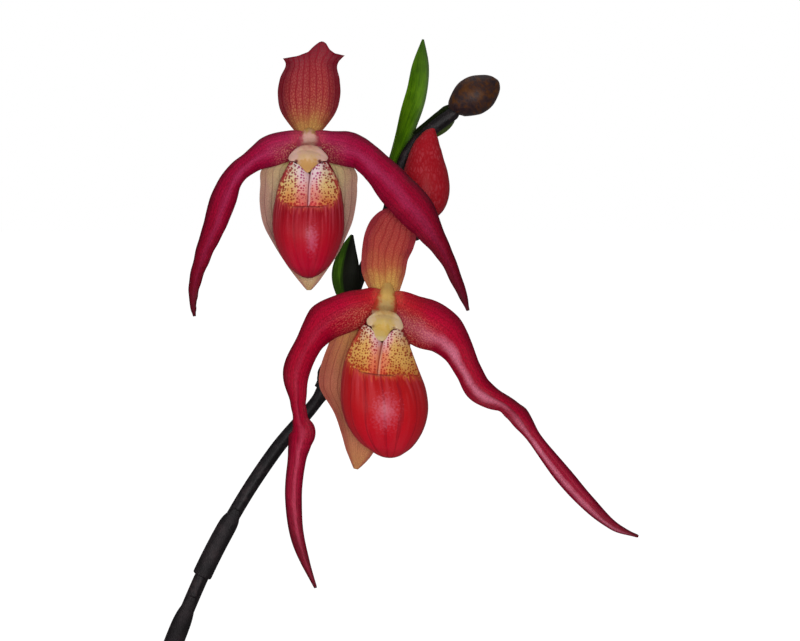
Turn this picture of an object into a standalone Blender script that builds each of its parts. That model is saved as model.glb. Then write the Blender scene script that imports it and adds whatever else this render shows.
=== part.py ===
"""A potted slipper orchid: two open flowers, a red bud and a dark tip bud on one arching stem, over two fans
of strap leaves in a plain pot of bark. Metres, +Z up. The origin is the middle of the pot's foot, and the
flowers face -Y."""

import math
import random

import bmesh
import bpy
from mathutils import Matrix, Vector

MM = 0.001

# Pot and bark
POT_HEIGHT = 132.0
POT_TOP_RADIUS = 72.0
POT_FOOT_RADIUS = 52.0
POT_WALL = 2.6
POT_RIM_HEIGHT = 17.0
POT_RIM_STEP = 3.6
POT_HOLE_RADIUS = 5.0
POT_HOLE_CIRCLE = 31.0
POT_HOLES = 4
POT_STEPS = 40
BARK_TOP = 118.0
BARK_CHIPS = 46
BARK_SEED = 11
POCKET_SQUASH = 0.62
GAP = 0.35

# Leaves
LEAF_THICKNESS = 1.5
LEAF_ROWS = 13
LEAF_ROOT_DEPTH = 13.0
LEAF_FIRST_RADIUS = 8.0
LEAF_SPACING = 5.0

# Stem: (x, y, z, radius) of the middle line, from the bark to the tip bud
STEM = [
    (0, 0, 105.5, 3.2),
    (1, -1, 150, 3.2),
    (5, -5, 215, 3.1),
    (17, -12, 285, 3),
    (34, -18, 342, 2.9),
    (51.5, -19, 384, 2.8),
    (65.2, -16, 413, 2.75),
    (82.2, -14, 438, 2.7),
    (100, -13.5, 461, 2.4),
    (106.5, -12, 480, 2.2),
    (113, -8, 501, 2.2),
    (120, -5, 518, 2.1),
    (126.5, -2.4, 534, 2.1),
    (132, -0.4, 552, 2),
    (140.9, 1.6, 561.2, 2.6),
    (150.6, 2.3, 568.4, 2.6),
]
STEM_STEPS = 46
# Sheaths of the lower stem: foot and length, as shares of its spline
SHEATH_1 = (0.245, 0.085)
SHEATH_2 = (0.345, 0.062)
BRACT_THICKNESS = 0.65
# Stations of each bract above its foot, in the same form as a blade's
BRACT_A = [
    (108.4, -13.6, 500, 6.6, 6.6, 0, 58),
    (107.8, -14, 507, 7.2, 7.2, 0, 50),
    (109, -13.8, 514, 5.2, 5.2, 0, 42),
    (111.6, -13.2, 522, 0.7, 0.7, 0, 20),
]
BRACT_B = [
    (96.6, -15.2, 471.5, 3.8, 3.8, 0, 50),
    (96.2, -15.8, 476.5, 0.7, 0.7, 0, 20),
]
BRACT_C = [
    (125.8, 2.2, 547, 6, 6, 0, 62),
    (128, 3.4, 554, 6, 5.8, 0, 50),
    (132.2, 4.2, 565, 6, 5.2, -15, 38),
    (136.2, 4.8, 576, 4.6, 4.2, -40, 32),
    (138, 5.4, 587, 3.5, 3.3, -45, 26),
    (139, 5.8, 597.4, 0.6, 0.6, -45, 15),
]
BRACT_D = [
    (144.2, 5.4, 568.2, 3.2, 3.2, 0, 42),
    (148.6, 6.4, 571.8, 0.7, 0.7, 0, 20),
]
# Nodes of the stem, as shares of its spline, where a bract and a flower or a sheath stand
NODE_B, NODE_A, NODE_C, NODE_D = 8 / 15, 9.5 / 15, 12 / 15, 13.6 / 15
NODE_SWELL = 0.5

# Flowers: the middle of each flower, and how it is turned about the camera's axes
FLOWER_A_AT = (95.3, -23.9, 558.3)
FLOWER_B_AT = (125.3, -52.1, 500.0)
FACE_UP = 6.0
B_LEAN = 6.0
PETAL_THICKNESS = 1.0
KNOB_RADIUS = 3.0
KNOB_FRONT = 1.9
OVARY_FOOT_RADIUS = 1.6
COLUMN_BACK = -1.5

# A blade's stations: x, y, z, inner half width, outer half width, roll in degrees, arc in degrees.
# The arc is how far each half curls, towards the front if positive. Flower pieces are in the flower's own
# axes: x to the right of who looks at it, y to its back, z up.
PETAL_A_LEFT = [
    (-0.9, 0.1, -0.8, 3.2, 3.6, 0, -12),
    (-3.8, -0.1, -1, 4.6, 4.8, 0, -22),
    (-7.5, -0.5, -2, 6, 5.5, 0, -30),
    (-14, -2, -4, 6.5, 6, -5, -35),
    (-20, -5, -7.5, 5, 5, -15, -35),
    (-26.5, -10, -14.5, 4, 4, -20, -30),
    (-30.5, -15, -24, 4.5, 4.5, -10, -25),
    (-33.5, -19.5, -34, 4, 4, 5, -25),
    (-37, -24.5, -44.5, 3, 3, 20, -30),
    (-39.5, -28.5, -56, 2, 2.5, 20, -35),
    (-39.5, -30, -66.5, 0.6, 0.6, 0, -20),
]
PETAL_A_RIGHT = [
    (0.9, 0.1, -0.8, 3.2, 3.6, 0, -12),
    (3.8, -0.1, -1, 4.6, 4.8, 0, -22),
    (8, -1, -2, 6.5, 6, 0, -30),
    (14, -4.5, -3.5, 7, 7, -5, -35),
    (20, -9.5, -6, 6.5, 6, -10, -35),
    (26, -15, -11.5, 6.5, 6, -10, -30),
    (33, -21, -19, 7.5, 7, 5, -30),
    (40.5, -26, -27.5, 7.5, 7, 5, -30),
    (46, -30, -35.5, 5.5, 5, 15, -35),
    (51.5, -33.5, -45.5, 3, 3.5, 20, -35),
    (56.5, -36.5, -57, 2, 2, 15, -35),
    (59, -38, -64.5, 0.6, 0.6, 0, -20),
]
PETAL_B_LEFT = [
    (-1.1, 0.1, -1.2, 3.2, 4, 0, -12),
    (-4.1, -0.3, -1.5, 5, 5.4, 0, -22),
    (-8, -2, -3, 7, 6, 0, -30),
    (-14, -4.5, -5.5, 8.5, 7, -10, -40),
    (-20.5, -8, -10, 7.5, 6.5, -15, -40),
    (-26, -12, -17.5, 5.5, 5.5, -10, -30),
    (-29, -16, -28.5, 4.5, 5, 0, -25),
    (-27.5, -18.5, -39, 4, 4, 35, -30),
    (-25.5, -20.5, -46, 4.5, 3.5, 20, -30),
    (-24.5, -22.5, -52, 4.5, 4.5, -5, -35),
    (-25, -25, -60, 3, 3.5, -10, -40),
    (-25, -28, -72, 3, 3.5, -5, -45),
    (-21.5, -31, -86.5, 2, 3, 0, -40),
    (-14, -34, -102, 0.6, 0.6, 0, -20),
]
PETAL_B_RIGHT = [
    (1.1, 0.1, -1.2, 3.2, 4, 0, -12),
    (4, -0.2, -1.5, 4.8, 5.4, 0, -22),
    (9, -1.5, -4, 8.5, 7.5, 5, -30),
    (15, -4, -6.5, 9.5, 9, 0, -35),
    (21.5, -6.5, -9.5, 8.5, 8, -5, -40),
    (27, -9.5, -14.5, 6.5, 6, -5, -35),
    (31.5, -11.5, -21.5, 5, 5, 0, -30),
    (37, -13.5, -28, 5.5, 5, 20, -30),
    (45.5, -14.5, -32, 4.5, 5, 40, -30),
    (51, -16, -36.5, 4, 5.5, 25, -35),
    (58, -17.5, -44, 3, 3.5, 0, -40),
    (67, -20, -54.5, 3, 3.5, -5, -45),
    (77, -21.5, -63.5, 2.5, 3, 0, -45),
    (88, -23, -71, 1.5, 2, 5, -40),
    (97, -24, -73.5, 0.6, 0.6, 0, -20),
]
DORSAL_A = [
    (0, 3.4, 3.5, 4, 4, 0, 12),
    (0.2, 4.2, 9.5, 10.2, 9.8, 0, 18),
    (0.4, 4.4, 17, 12.4, 12.2, 0, 25),
    (0.6, 3.4, 24.5, 11.6, 11.8, 0, 22),
    (0.6, 2.4, 30.4, 10.1, 12, 0, 10),
    (0.6, 1.6, 33.5, 10, 14, 0, 4),
    (0.6, 0.6, 38.4, 10, 14, 0, 0),
]
# The top of sepal A is cut off along this line of (x, z)
DORSAL_A_TOP = [
    (-20, 30), (-9.5, 30.5), (-4, 31.5), (0, 33.5), (4, 36.5), (6, 37), (7.5, 35.5), (10, 33),
    (14, 32), (20, 32),
]
# How far the cutting block reaches over the sepal, and to its front and back
TRIM_TOP = 60.0
TRIM_DEPTH = 20.0
DORSAL_B = [
    (-0.2, 3.5, 3.5, 5.2, 4.4, 0, 12),
    (-1.6, 4.5, 9, 8.4, 7.4, 0, 18),
    (-2.4, 6.6, 15.5, 9.1, 8.8, 0, 26),
    (-1.7, 9.5, 22, 9.8, 9.8, 0, 28),
    (-0.2, 12.2, 28, 8.8, 8.8, 0, 26),
    (1.4, 14, 33, 5.2, 5.2, 0, 20),
    (2.6, 15, 36.8, 0.8, 0.8, 0, 0),
]
SYNSEPAL_A = [
    (0, 3.5, -3.5, 4.6, 4.6, 0, 5),
    (0, 5.8, -9.5, 15.2, 15.2, 0, 14),
    (0, 6.8, -17, 19, 19, 0, 30),
    (0, 6.8, -25, 20.2, 20.2, 0, 42),
    (0, 6.4, -33, 18.4, 18.4, 0, 42),
    (0, 4.8, -41, 14, 14, 0, 38),
    (0, 2.4, -48, 9, 9, 0, 32),
    (0, 0.2, -53, 4.6, 4.6, 0, 25),
    (0, -1, -56.6, 0.9, 0.9, 0, 10),
]
SYNSEPAL_B = [
    (-0.4, 3.6, -3.5, 4.6, 4.8, 0, 5),
    (-2.2, 6.7, -10.5, 12, 14.6, 0, 6),
    (-3.1, 8.3, -18.5, 13.6, 17.2, 0, 24),
    (-3.5, 8.6, -27, 15.2, 19.6, 0, 38),
    (-4, 7.8, -35.5, 14.6, 18.8, 0, 38),
    (-4.3, 5.9, -44, 12, 11.4, 0, 34),
    (-4.4, 3.4, -51.5, 8.4, 7.2, 0, 30),
    (-4.4, 1.1, -57, 4.6, 4.6, 0, 25),
    (-5, -0.1, -62.2, 0.9, 0.9, 0, 10),
]
SHIELD = [
    (0, -9.2, -1.4, 2.2, 2.2, 0, -30),
    (0, -10.8, -3.2, 5.6, 5.6, 0, -40),
    (0, -12.0, -5.2, 7.6, 7.6, 0, -45),
    (0, -12.6, -7.0, 8.2, 8.2, 0, -45),
    (0, -12.9, -8.6, 5.0, 5.0, 0, -35),
    (0, -13.4, -10.6, 2.7, 2.7, 0, -30),
    (0, -14.0, -12.6, 0.8, 0.8, 0, -20),
]
# A pouch's rings, from the mouth down: middle x, front y, front z, back y, back z, half width
POUCH_A = [
    (0, -13.2, -14.4, -3.6, -4.6, 8.0),
    (0, -16.0, -18.2, -1.4, -9.4, 10.2),
    (0, -18.9, -22.0, 0.0, -13.6, 11.8),
    (0, -21.8, -25.6, 1.0, -18.4, 12.8),
    (0, -24.2, -31.0, 1.6, -25.4, 13.5),
    (0, -24.8, -37.0, 1.2, -33.0, 13.5),
    (0, -22.8, -43.2, -0.8, -40.2, 11.9),
    (0, -18.8, -48.4, -4.6, -46.6, 8.8),
    (0, -14.8, -51.4, -8.4, -50.6, 4.6),
]
POUCH_B = [
    (-0.6, -14.8, -15.4, -4.0, -4.7, 7.9),
    (-0.8, -17.9, -19.5, -2.2, -10.4, 10.6),
    (-0.4, -21.2, -23.5, 0.0, -14.6, 12.8),
    (0, -24.4, -27.4, 1.1, -19.7, 14.3),
    (1.6, -27.1, -33.2, 1.8, -27.2, 15.7),
    (3.4, -27.8, -39.6, 1.3, -35.3, 15.9),
    (4.6, -25.5, -46.2, -0.9, -43.0, 14.0),
    (5.4, -21.1, -51.8, -5.2, -49.9, 10.2),
    (6.0, -16.6, -55.0, -9.4, -54.1, 5.3),
]
# The lowest point of each pouch
POUCH_A_FLOOR = (0, -11.4, -52.4)
POUCH_B_FLOOR = (6.2, -12.8, -56.1)
POUCH_WALL = 1.1
POUCH_SIDES = 18
POUCH_RINGS = 12
POUCH_PANEL_INSET = 0.9

# Buds: middle line (x, y, z, radius)
BUD_C = [
    (137.6, -13, 526, 2.4),
    (138.4, -13.6, 531, 7.2),
    (139.6, -13.8, 538, 9.1),
    (140, -13.6, 545, 8.8),
    (140.8, -13.2, 552, 6.7),
    (142.2, -12.9, 558, 3.8),
    (144, -12.8, 562.3, 0.7),
]
BUD_D = [
    (150.95, 2.3, 568.7, 2.3),
    (152.5, 2.5, 570.3, 4.6),
    (156.8, 2.9, 573.4, 7),
    (161.4, 3.2, 576.4, 6.8),
    (165, 3.4, 578.9, 4.5),
    (168.2, 3.6, 581, 1.2),
]
BUD_SIDES = 14


def clear_scene():
    for thing in list(bpy.data.objects):
        bpy.data.objects.remove(thing, do_unlink=True)


def material(name, colour, roughness):
    made = bpy.data.materials.new(name)
    made.use_nodes = True
    made.diffuse_color = (*colour, 1.0)
    shader = made.node_tree.nodes["Principled BSDF"]
    shader.inputs["Base Color"].default_value = (*colour, 1.0)
    shader.inputs["Roughness"].default_value = roughness
    shader.inputs["Metallic"].default_value = 0.0
    return made


def add_object(name, mesh, finish, parent=None, collection=None):
    made = bpy.data.objects.new(name, mesh)
    (collection or PLANT).objects.link(made)
    mesh.materials.clear()
    mesh.materials.append(finish)
    mesh.shade_smooth()
    made.parent = parent
    return made


def along(stations, share):
    """A smooth spline through these stations, at a share of it from 0 to 1."""
    last = len(stations) - 1
    place = min(max(share, 0.0) * last, last - 1e-9)
    i = int(place)
    f = place - i
    four = (stations[max(i - 1, 0)], stations[i], stations[i + 1], stations[min(i + 2, last)])
    return tuple(
        0.5 * (2 * b + (c - a) * f + (2 * a - 5 * b + 4 * c - d) * f * f + (3 * b - a - 3 * c + d) * f**3)
        for a, b, c, d in zip(*four)
    )


def tangent(stations, share):
    step = 0.004
    before = Vector(along(stations, share - step)[:3])
    after = Vector(along(stations, share + step)[:3])
    return (after - before).normalized()


def cross_point(half, share, arc, fold=0.0):
    """A point of a blade's cross-section, as (across, towards the front), at a share from -1 to 1."""
    size = abs(share)
    if abs(arc) > 1e-4:
        across = half * math.sin(size * arc) / arc
        front = half * (1 - math.cos(size * arc)) / arc
    else:
        across, front = half * size, 0.0
    return (
        math.copysign(across * math.cos(fold), share) if share else 0.0,
        front + size * half * math.sin(fold),
    )


def blade_rows(stations, rows, shares, facing, side):
    """Rows of points over a blade. facing is where its upper face looks, and side is 1 if its outer edge is
    to the left of who looks at it, or -1."""
    made = []
    for r in range(rows + 1):
        share = r / rows
        x, y, z, inner, outer, roll, arc = along(stations, share)
        forward = tangent(stations, share)
        out = side * forward.cross(facing).normalized()
        front = side * out.cross(forward)
        turn = Matrix.Rotation(side * math.radians(roll), 3, forward)
        out, front = turn @ out, turn @ front
        row = []
        for u in shares:
            half = max(outer if u > 0 else inner, 0.35)
            across, depth = cross_point(half, u, math.radians(arc))
            row.append((Vector((x, y, z)) + out * across + front * depth) * MM)
        made.append(row)
    return made


def even_shares(columns):
    return [2 * c / columns - 1 for c in range(columns + 1)]


def sheet_mesh(name, rows):
    """An open surface over rows of points, split along each cell's shorter diagonal."""
    mesh = bmesh.new()
    grid = [[mesh.verts.new(p) for p in row] for row in rows]
    for lower, upper in zip(grid, grid[1:]):
        for c in range(len(lower) - 1):
            a, b, d, e = lower[c], lower[c + 1], upper[c + 1], upper[c]
            if (a.co - d.co).length < (b.co - e.co).length:
                faces = ((a, b, d), (a, d, e))
            else:
                faces = ((a, b, e), (b, d, e))
            for face in faces:
                mesh.faces.new(face)
    made = bpy.data.meshes.new(name)
    mesh.to_mesh(made)
    mesh.free()
    return made


def thicken(thing, thickness):
    shell = thing.modifiers.new("thickness", "SOLIDIFY")
    shell.thickness = thickness * MM
    shell.offset = 0.0
    return thing


def blade(name, stations, finish, rows, columns, side, parent=None, thickness=PETAL_THICKNESS,
          facing=(0, -1, 0)):
    points = blade_rows(stations, rows, even_shares(columns), Vector(facing), side)
    return thicken(add_object(name, sheet_mesh(name, points), finish, parent), thickness)


def tube(name, stations, finish, steps, parent=None):
    """A tapered round stem with filled ends along the spline through (x, y, z, radius) stations."""
    curve = bpy.data.curves.new(name, "CURVE")
    curve.dimensions = "3D"
    curve.bevel_depth = MM
    curve.bevel_resolution = 2
    curve.use_fill_caps = True
    line = curve.splines.new("POLY")
    line.points.add(steps)
    for i, point in enumerate(line.points):
        x, y, z, radius = along(stations, i / steps)
        point.co = (x * MM, y * MM, z * MM, 1)
        point.radius = radius
    made = bpy.data.objects.new(name, curve)
    PLANT.objects.link(made)
    curve.materials.append(finish)
    made.parent = parent
    return made


def round_body(name, stations, finish, rings, sides, parent=None):
    """A bud: rings about a bent middle line, closed at both ends."""
    mesh = bmesh.new()
    loops = []
    for r in range(rings + 1):
        x, y, z, radius = along(stations, r / rings)
        forward = tangent(stations, r / rings)
        first = forward.cross(Vector((0, 1, 0))).normalized()
        second = forward.cross(first)
        loops.append([
            mesh.verts.new((Vector((x, y, z)) + max(radius, 0.5) * (
                first * math.cos(2 * math.pi * s / sides) + second * math.sin(2 * math.pi * s / sides)
            )) * MM)
            for s in range(sides)
        ])
    for lower, upper in zip(loops, loops[1:]):
        for s in range(sides):
            t = (s + 1) % sides
            mesh.faces.new((lower[s], lower[t], upper[t], upper[s]))
    mesh.faces.new(list(reversed(loops[0])))
    mesh.faces.new(loops[-1])
    made = bpy.data.meshes.new(name)
    mesh.to_mesh(made)
    mesh.free()
    return add_object(name, made, finish, parent)


def boolean(thing, operation, other=None, collection=None, solver="EXACT"):
    """A Boolean on a mesh object, applied, with the objects that it used removed."""
    cut = thing.modifiers.new("cut", "BOOLEAN")
    cut.operation = operation
    cut.solver = solver
    if collection:
        cut.operand_type = "COLLECTION"
        cut.collection = collection
    else:
        cut.object = other
    bpy.context.view_layer.update()
    graph = bpy.context.evaluated_depsgraph_get()
    mesh = bpy.data.meshes.new_from_object(thing.evaluated_get(graph))
    thing.modifiers.clear()
    thing.data = mesh
    for used in list(collection.objects) if collection else [other]:
        bpy.data.objects.remove(used, do_unlink=True)
    return thing


def applied(thing):
    """The object with its modifiers applied to its mesh."""
    bpy.context.view_layer.update()
    graph = bpy.context.evaluated_depsgraph_get()
    mesh = bpy.data.meshes.new_from_object(thing.evaluated_get(graph))
    thing.modifiers.clear()
    thing.data = mesh
    return thing


def cylinder(name, bottom, top, low_radius, high_radius, finish, sides=24, squash=1.0, collection=None):
    """An upright cylinder or cone, oval if squash is under 1."""
    mesh = bmesh.new()
    bmesh.ops.create_cone(
        mesh, cap_ends=True, segments=sides, radius1=low_radius * MM, radius2=high_radius * MM,
        depth=(top - bottom) * MM,
    )
    bmesh.ops.scale(mesh, vec=(1, squash, 1), verts=mesh.verts)
    made = bpy.data.meshes.new(name)
    mesh.to_mesh(made)
    mesh.free()
    thing = add_object(name, made, finish, collection=collection)
    thing.location = (0, 0, (bottom + top) / 2 * MM)
    return thing


def inner_radius(height):
    """The inside radius of the pot at a height."""
    share = height / POT_HEIGHT
    return POT_FOOT_RADIUS + (POT_TOP_RADIUS - POT_RIM_STEP - POT_FOOT_RADIUS) * share - POT_WALL


def make_pot(finish):
    rim_foot = POT_HEIGHT - POT_RIM_HEIGHT
    wall_top = POT_FOOT_RADIUS + (POT_TOP_RADIUS - POT_RIM_STEP - POT_FOOT_RADIUS) * rim_foot / POT_HEIGHT
    outline = [
        (0, POT_WALL),
        (inner_radius(POT_WALL), POT_WALL),
        (inner_radius(POT_HEIGHT), POT_HEIGHT - 0.8),
        (inner_radius(POT_HEIGHT) + 1.0, POT_HEIGHT),
        (POT_TOP_RADIUS - 1.4, POT_HEIGHT),
        (POT_TOP_RADIUS, POT_HEIGHT - 1.6),
        (POT_TOP_RADIUS - 0.8, rim_foot + 1.0),
        (POT_TOP_RADIUS - 1.6, rim_foot),
        (wall_top, rim_foot),
        (POT_FOOT_RADIUS + 0.4, 2.4),
        (POT_FOOT_RADIUS - 1.6, 0),
        (0, 0),
    ]
    mesh = bmesh.new()
    points = [mesh.verts.new((x * MM, 0, z * MM)) for x, z in outline]
    for a, b in zip(points, points[1:]):
        mesh.edges.new((a, b))
    made = bpy.data.meshes.new("pot")
    mesh.to_mesh(made)
    mesh.free()
    pot = add_object("pot", made, finish)
    screw = pot.modifiers.new("turned", "SCREW")
    screw.steps = screw.render_steps = POT_STEPS
    screw.use_merge_vertices = True
    screw.merge_threshold = 0.00001
    applied(pot)
    pot.data.shade_smooth()
    pot.data.set_sharp_from_angle(angle=math.radians(40))
    for h in range(POT_HOLES):
        angle = 2 * math.pi * (h + 0.5) / POT_HOLES
        hole = cylinder("hole", -3, POT_WALL + 3, POT_HOLE_RADIUS, POT_HOLE_RADIUS, finish, sides=16,
                        collection=CUTTERS)
        hole.location.x = POT_HOLE_CIRCLE * math.cos(angle) * MM
        hole.location.y = POT_HOLE_CIRCLE * math.sin(angle) * MM
        boolean(pot, "DIFFERENCE", hole)
    return pot


def bark_chip(rng, place, finish):
    """A flat chip with uneven corners, sunk into the surface of the mix."""
    long, wide, thick = rng.uniform(8.5, 11.5), rng.uniform(6, 7.5), rng.uniform(5, 8)
    mesh = bmesh.new()
    bmesh.ops.create_cube(mesh, size=1.0)
    for corner in mesh.verts:
        corner.co = Vector((
            corner.co.x * long * rng.uniform(0.76, 1.0),
            corner.co.y * wide * rng.uniform(0.76, 1.0),
            corner.co.z * thick * rng.uniform(0.8, 1.1),
        )) * MM
    made = bpy.data.meshes.new("chip")
    mesh.to_mesh(made)
    mesh.free()
    chip = add_object("chip", made, finish, collection=CHIPS)
    chip.location = (place[0] * MM, place[1] * MM, (BARK_TOP + rng.uniform(-0.8, 0.8)) * MM)
    chip.rotation_euler = (rng.uniform(-0.3, 0.3), rng.uniform(-0.3, 0.3), rng.uniform(0, math.pi))


def in_pocket(place):
    """True over a fan's pocket, where no chip lies."""
    for fan in FANS:
        across, deep = place[0] - fan["at"][0], place[1] - fan["at"][1]
        size = fan["pocket"] + 2
        if (across / size) ** 2 + (deep / (size * POCKET_SQUASH)) ** 2 < 1:
            return True
    return False


def make_bark(finish):
    """The mix fills the pot to a little under its rim. Chips stand out of it, and each fan has a pocket."""
    low, high = POT_WALL + GAP, BARK_TOP
    bark = cylinder("potting_mix", low, high, inner_radius(low) - GAP, inner_radius(high) - GAP,
                    finish, POT_STEPS)
    rng = random.Random(BARK_SEED)
    reach = inner_radius(high) - 8
    for i in range(BARK_CHIPS):
        radius = reach * math.sqrt((i + 0.5) / BARK_CHIPS)
        angle = i * math.pi * (3 - math.sqrt(5))
        place = (radius * math.cos(angle), radius * math.sin(angle))
        if not in_pocket(place):
            bark_chip(rng, place, finish)
    boolean(bark, "UNION", collection=CHIPS, solver="MANIFOLD")
    for fan in FANS:
        pocket = cylinder("pocket", BARK_TOP - LEAF_ROOT_DEPTH, BARK_TOP + 40,
                          fan["pocket"], fan["pocket"] + 7,
                          finish, sides=20, squash=POCKET_SQUASH, collection=CUTTERS)
        pocket.location.x = fan["at"][0] * MM
        pocket.location.y = fan["at"][1] * MM
        boolean(bark, "DIFFERENCE", pocket, solver="MANIFOLD")
    return bark


# Each fan: where it stands, its pocket's half length, and its leaves, outermost last on each side:
# (side, length, widest half width, rise at the foot, droop at the tip, turn) in mm and degrees
FANS = [
    {"name": "fan_1", "at": (0, 0), "pocket": 27, "leaves": [
        (1, 285, 17.5, 84, -34, 12),
        (-1, 300, 18.0, 85, -30, 8),
        (1, 320, 18.5, 77, -46, -12),
        (-1, 310, 18.5, 78, -44, 14),
        (1, 265, 17.5, 66, -48, -3),
        (-1, 275, 17.5, 67, -46, 3),
    ]},
    {"name": "fan_2", "at": (-9, 29), "pocket": 23, "leaves": [
        (1, 240, 15.5, 83, -22, 24),
        (-1, 260, 16.0, 84, -28, -30),
        (1, 270, 17.0, 72, -44, 34),
        (-1, 255, 16.5, 70, -46, -22),
    ]},
]


def leaf_fold(share):
    """How far each half of a leaf is folded up, in degrees: tight at the foot, nearly flat at the tip."""
    return 14 + 46 * max(0.0, 1 - share / 0.42) ** 1.5


def leaf_half_width(share, widest):
    foot = 7.0 / widest
    rise = foot + (1 - foot) * min(1.0, share / 0.34) ** 0.8
    fall = 1.0 if share < 0.55 else max(0.0, 1 - ((share - 0.55) / 0.45) ** 2.2) ** 0.75
    return widest * rise * fall


def leaf_stations(fan, order, leaf):
    side, length, widest, rise, droop, turn = leaf
    heading = math.radians(turn) + (math.pi if side < 0 else 0)
    outward = Vector((math.cos(heading), math.sin(heading), 0))
    foot = Vector((side, 0, 0))
    place = Vector((*fan["at"], BARK_TOP - LEAF_ROOT_DEPTH + GAP))
    place += foot * (LEAF_FIRST_RADIUS + LEAF_SPACING * order)
    made = []
    count = 12
    for i in range(count + 1):
        share = i / count
        # The foot stands in the line of the fan, and the blade swings to its own heading above it.
        swing = min(1.0, share / 0.25)
        flat = (foot * (1 - swing) + outward * swing).normalized()
        made.append((*place, leaf_half_width(share, widest), flat))
        bend = max(0.0, share - 0.1) / 0.9
        angle = math.radians(rise + (droop - rise) * bend**1.25)
        place = place + (flat * math.cos(angle) + Vector((0, 0, math.sin(angle)))) * (length / count)
    return made


def make_leaf(name, stations, finish):
    line = [s[:4] for s in stations]
    rows = []
    before = Vector((-stations[0][4].x, -stations[0][4].y, 0.3))
    for r in range(LEAF_ROWS + 1):
        share = r / LEAF_ROWS
        x, y, z, half = along(line, share)
        forward = tangent(line, share)
        flat = stations[min(int(share * (len(stations) - 1) + 0.5), len(stations) - 1)][4]
        across = Vector((-flat.y, flat.x, 0))
        upper = forward.cross(across)
        upper = -upper if upper.dot(before) < 0 else upper
        before = upper
        fold = math.radians(leaf_fold(share))
        row = []
        for u in (-1, -0.5, 0, 0.5, 1):
            side, depth = cross_point(max(half, 0.6), u, 0.0, fold)
            row.append((Vector((x, y, z)) + across * side + upper * depth) * MM)
        rows.append(row)
    return thicken(add_object(name, sheet_mesh(name, rows), finish), LEAF_THICKNESS)


def make_leaves(finish):
    for fan in FANS:
        for i, leaf in enumerate(fan["leaves"]):
            make_leaf(f"{fan['name']}_leaf_{i + 1}", leaf_stations(fan, i // 2, leaf), finish)


def stem_radius(share):
    swell = sum(math.exp(-(((share - node) / 0.006) ** 2)) for node in (NODE_B, NODE_A, NODE_C, NODE_D))
    return along(STEM, share)[3] + NODE_SWELL * swell


def make_stem(finish):
    line = [
        (*along(STEM, i / STEM_STEPS)[:3], stem_radius(i / STEM_STEPS)) for i in range(STEM_STEPS + 1)
    ]
    return tube("scape", line, finish, STEM_STEPS)


def make_pouch(name, finish, rings, floor, parent):
    """The lip: a hollow slipper. Its mouth opens up under the shield, and over the toe the turned-in side
    lobes make a panel that is set in and has a groove down its middle."""
    panel_line = rings[3][2]
    mesh = bmesh.new()
    loops = []
    for r in range(POUCH_RINGS + 1):
        middle, front_y, front_z, back_y, back_z, half = along(rings, r / POUCH_RINGS)
        loop = []
        for s in range(POUCH_SIDES):
            angle = 2 * math.pi * s / POUCH_SIDES
            reach = (1 - math.cos(angle)) / 2
            y = front_y + (back_y - front_y) * reach
            z = front_z + (back_z - front_z) * reach
            in_panel = z > panel_line and math.cos(angle) > 0.25
            inset = POUCH_PANEL_INSET * (1.6 if s == 0 else 1.0) if in_panel else 0.0
            loop.append(mesh.verts.new(Vector((middle + half * math.sin(angle), y + inset, z)) * MM))
        loops.append(loop)
    bottom = mesh.verts.new(Vector(floor) * MM)
    for upper, lower in zip(loops, loops[1:]):
        for s in range(POUCH_SIDES):
            t = (s + 1) % POUCH_SIDES
            for face in ((upper[s], upper[t], lower[t]), (upper[s], lower[t], lower[s])):
                mesh.faces.new(face)
    for s in range(POUCH_SIDES):
        mesh.faces.new((loops[-1][s], loops[-1][(s + 1) % POUCH_SIDES], bottom))
    bmesh.ops.recalc_face_normals(mesh, faces=mesh.faces)
    made = bpy.data.meshes.new(name)
    mesh.to_mesh(made)
    mesh.free()
    pouch = add_object(name, made, finish, parent)
    shell = pouch.modifiers.new("wall", "SOLIDIFY")
    shell.thickness = POUCH_WALL * MM
    shell.offset = -1.0
    return pouch


def make_column(name, finish, parent):
    """The column: a short stout body, with the shield across its end. Joined as one."""
    rows = blade_rows(SHIELD, 7, even_shares(6), Vector((0, -1, 0)), 1)
    shield = thicken(add_object(name, sheet_mesh(name, rows), finish), 1.5)
    applied(shield)
    body = cylinder("column_body", 0, 11, 2.5, 3.0, finish, sides=12)
    for corner in body.data.vertices:
        corner.co = Vector((corner.co.x, -corner.co.z - 5.5 * MM, corner.co.y * 0.9))
    body.location = (0, COLUMN_BACK * MM, -1.2 * MM)
    body.rotation_euler = (math.radians(12), 0, 0)
    body.data.flip_normals()
    bpy.context.view_layer.update()
    boolean(shield, "UNION", body)
    shield.parent = parent
    return shield


def make_ovary(name, finish, start, node, lift, route):
    """An ovary and its stalk: from its start through the route, as (x, y, z, radius), to the stem just above
    a node, where it ends in a flat foot beside the stem."""
    points = start + route
    stem = Vector(along(STEM, node)[:3]) + tangent(STEM, node) * lift
    toward = (Vector(points[-1][:3]) - stem).normalized()
    lean = toward.angle(tangent(STEM, node))
    foot = OVARY_FOOT_RADIUS
    reach = (along(STEM, node)[3] + GAP + foot * abs(math.cos(lean))) / math.sin(lean)
    points = points + [(*(stem + toward * reach), foot)]
    return tube(name, points, finish, 16)


def knob(frame):
    """The end of an ovary behind a flower's middle."""
    ends = ((KNOB_FRONT, KNOB_RADIUS), (5.5, KNOB_RADIUS * 0.9))
    return [(*(frame @ Vector((0, y, 0))), r) for y, r in ends]


def flower_frame(at, lean):
    """A flower's own axes in the plant's, in mm."""
    face = Matrix.Rotation(math.radians(-FACE_UP), 4, "X")
    return Matrix.Translation(at) @ face @ Matrix.Rotation(math.radians(lean), 4, "Y")


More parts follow.
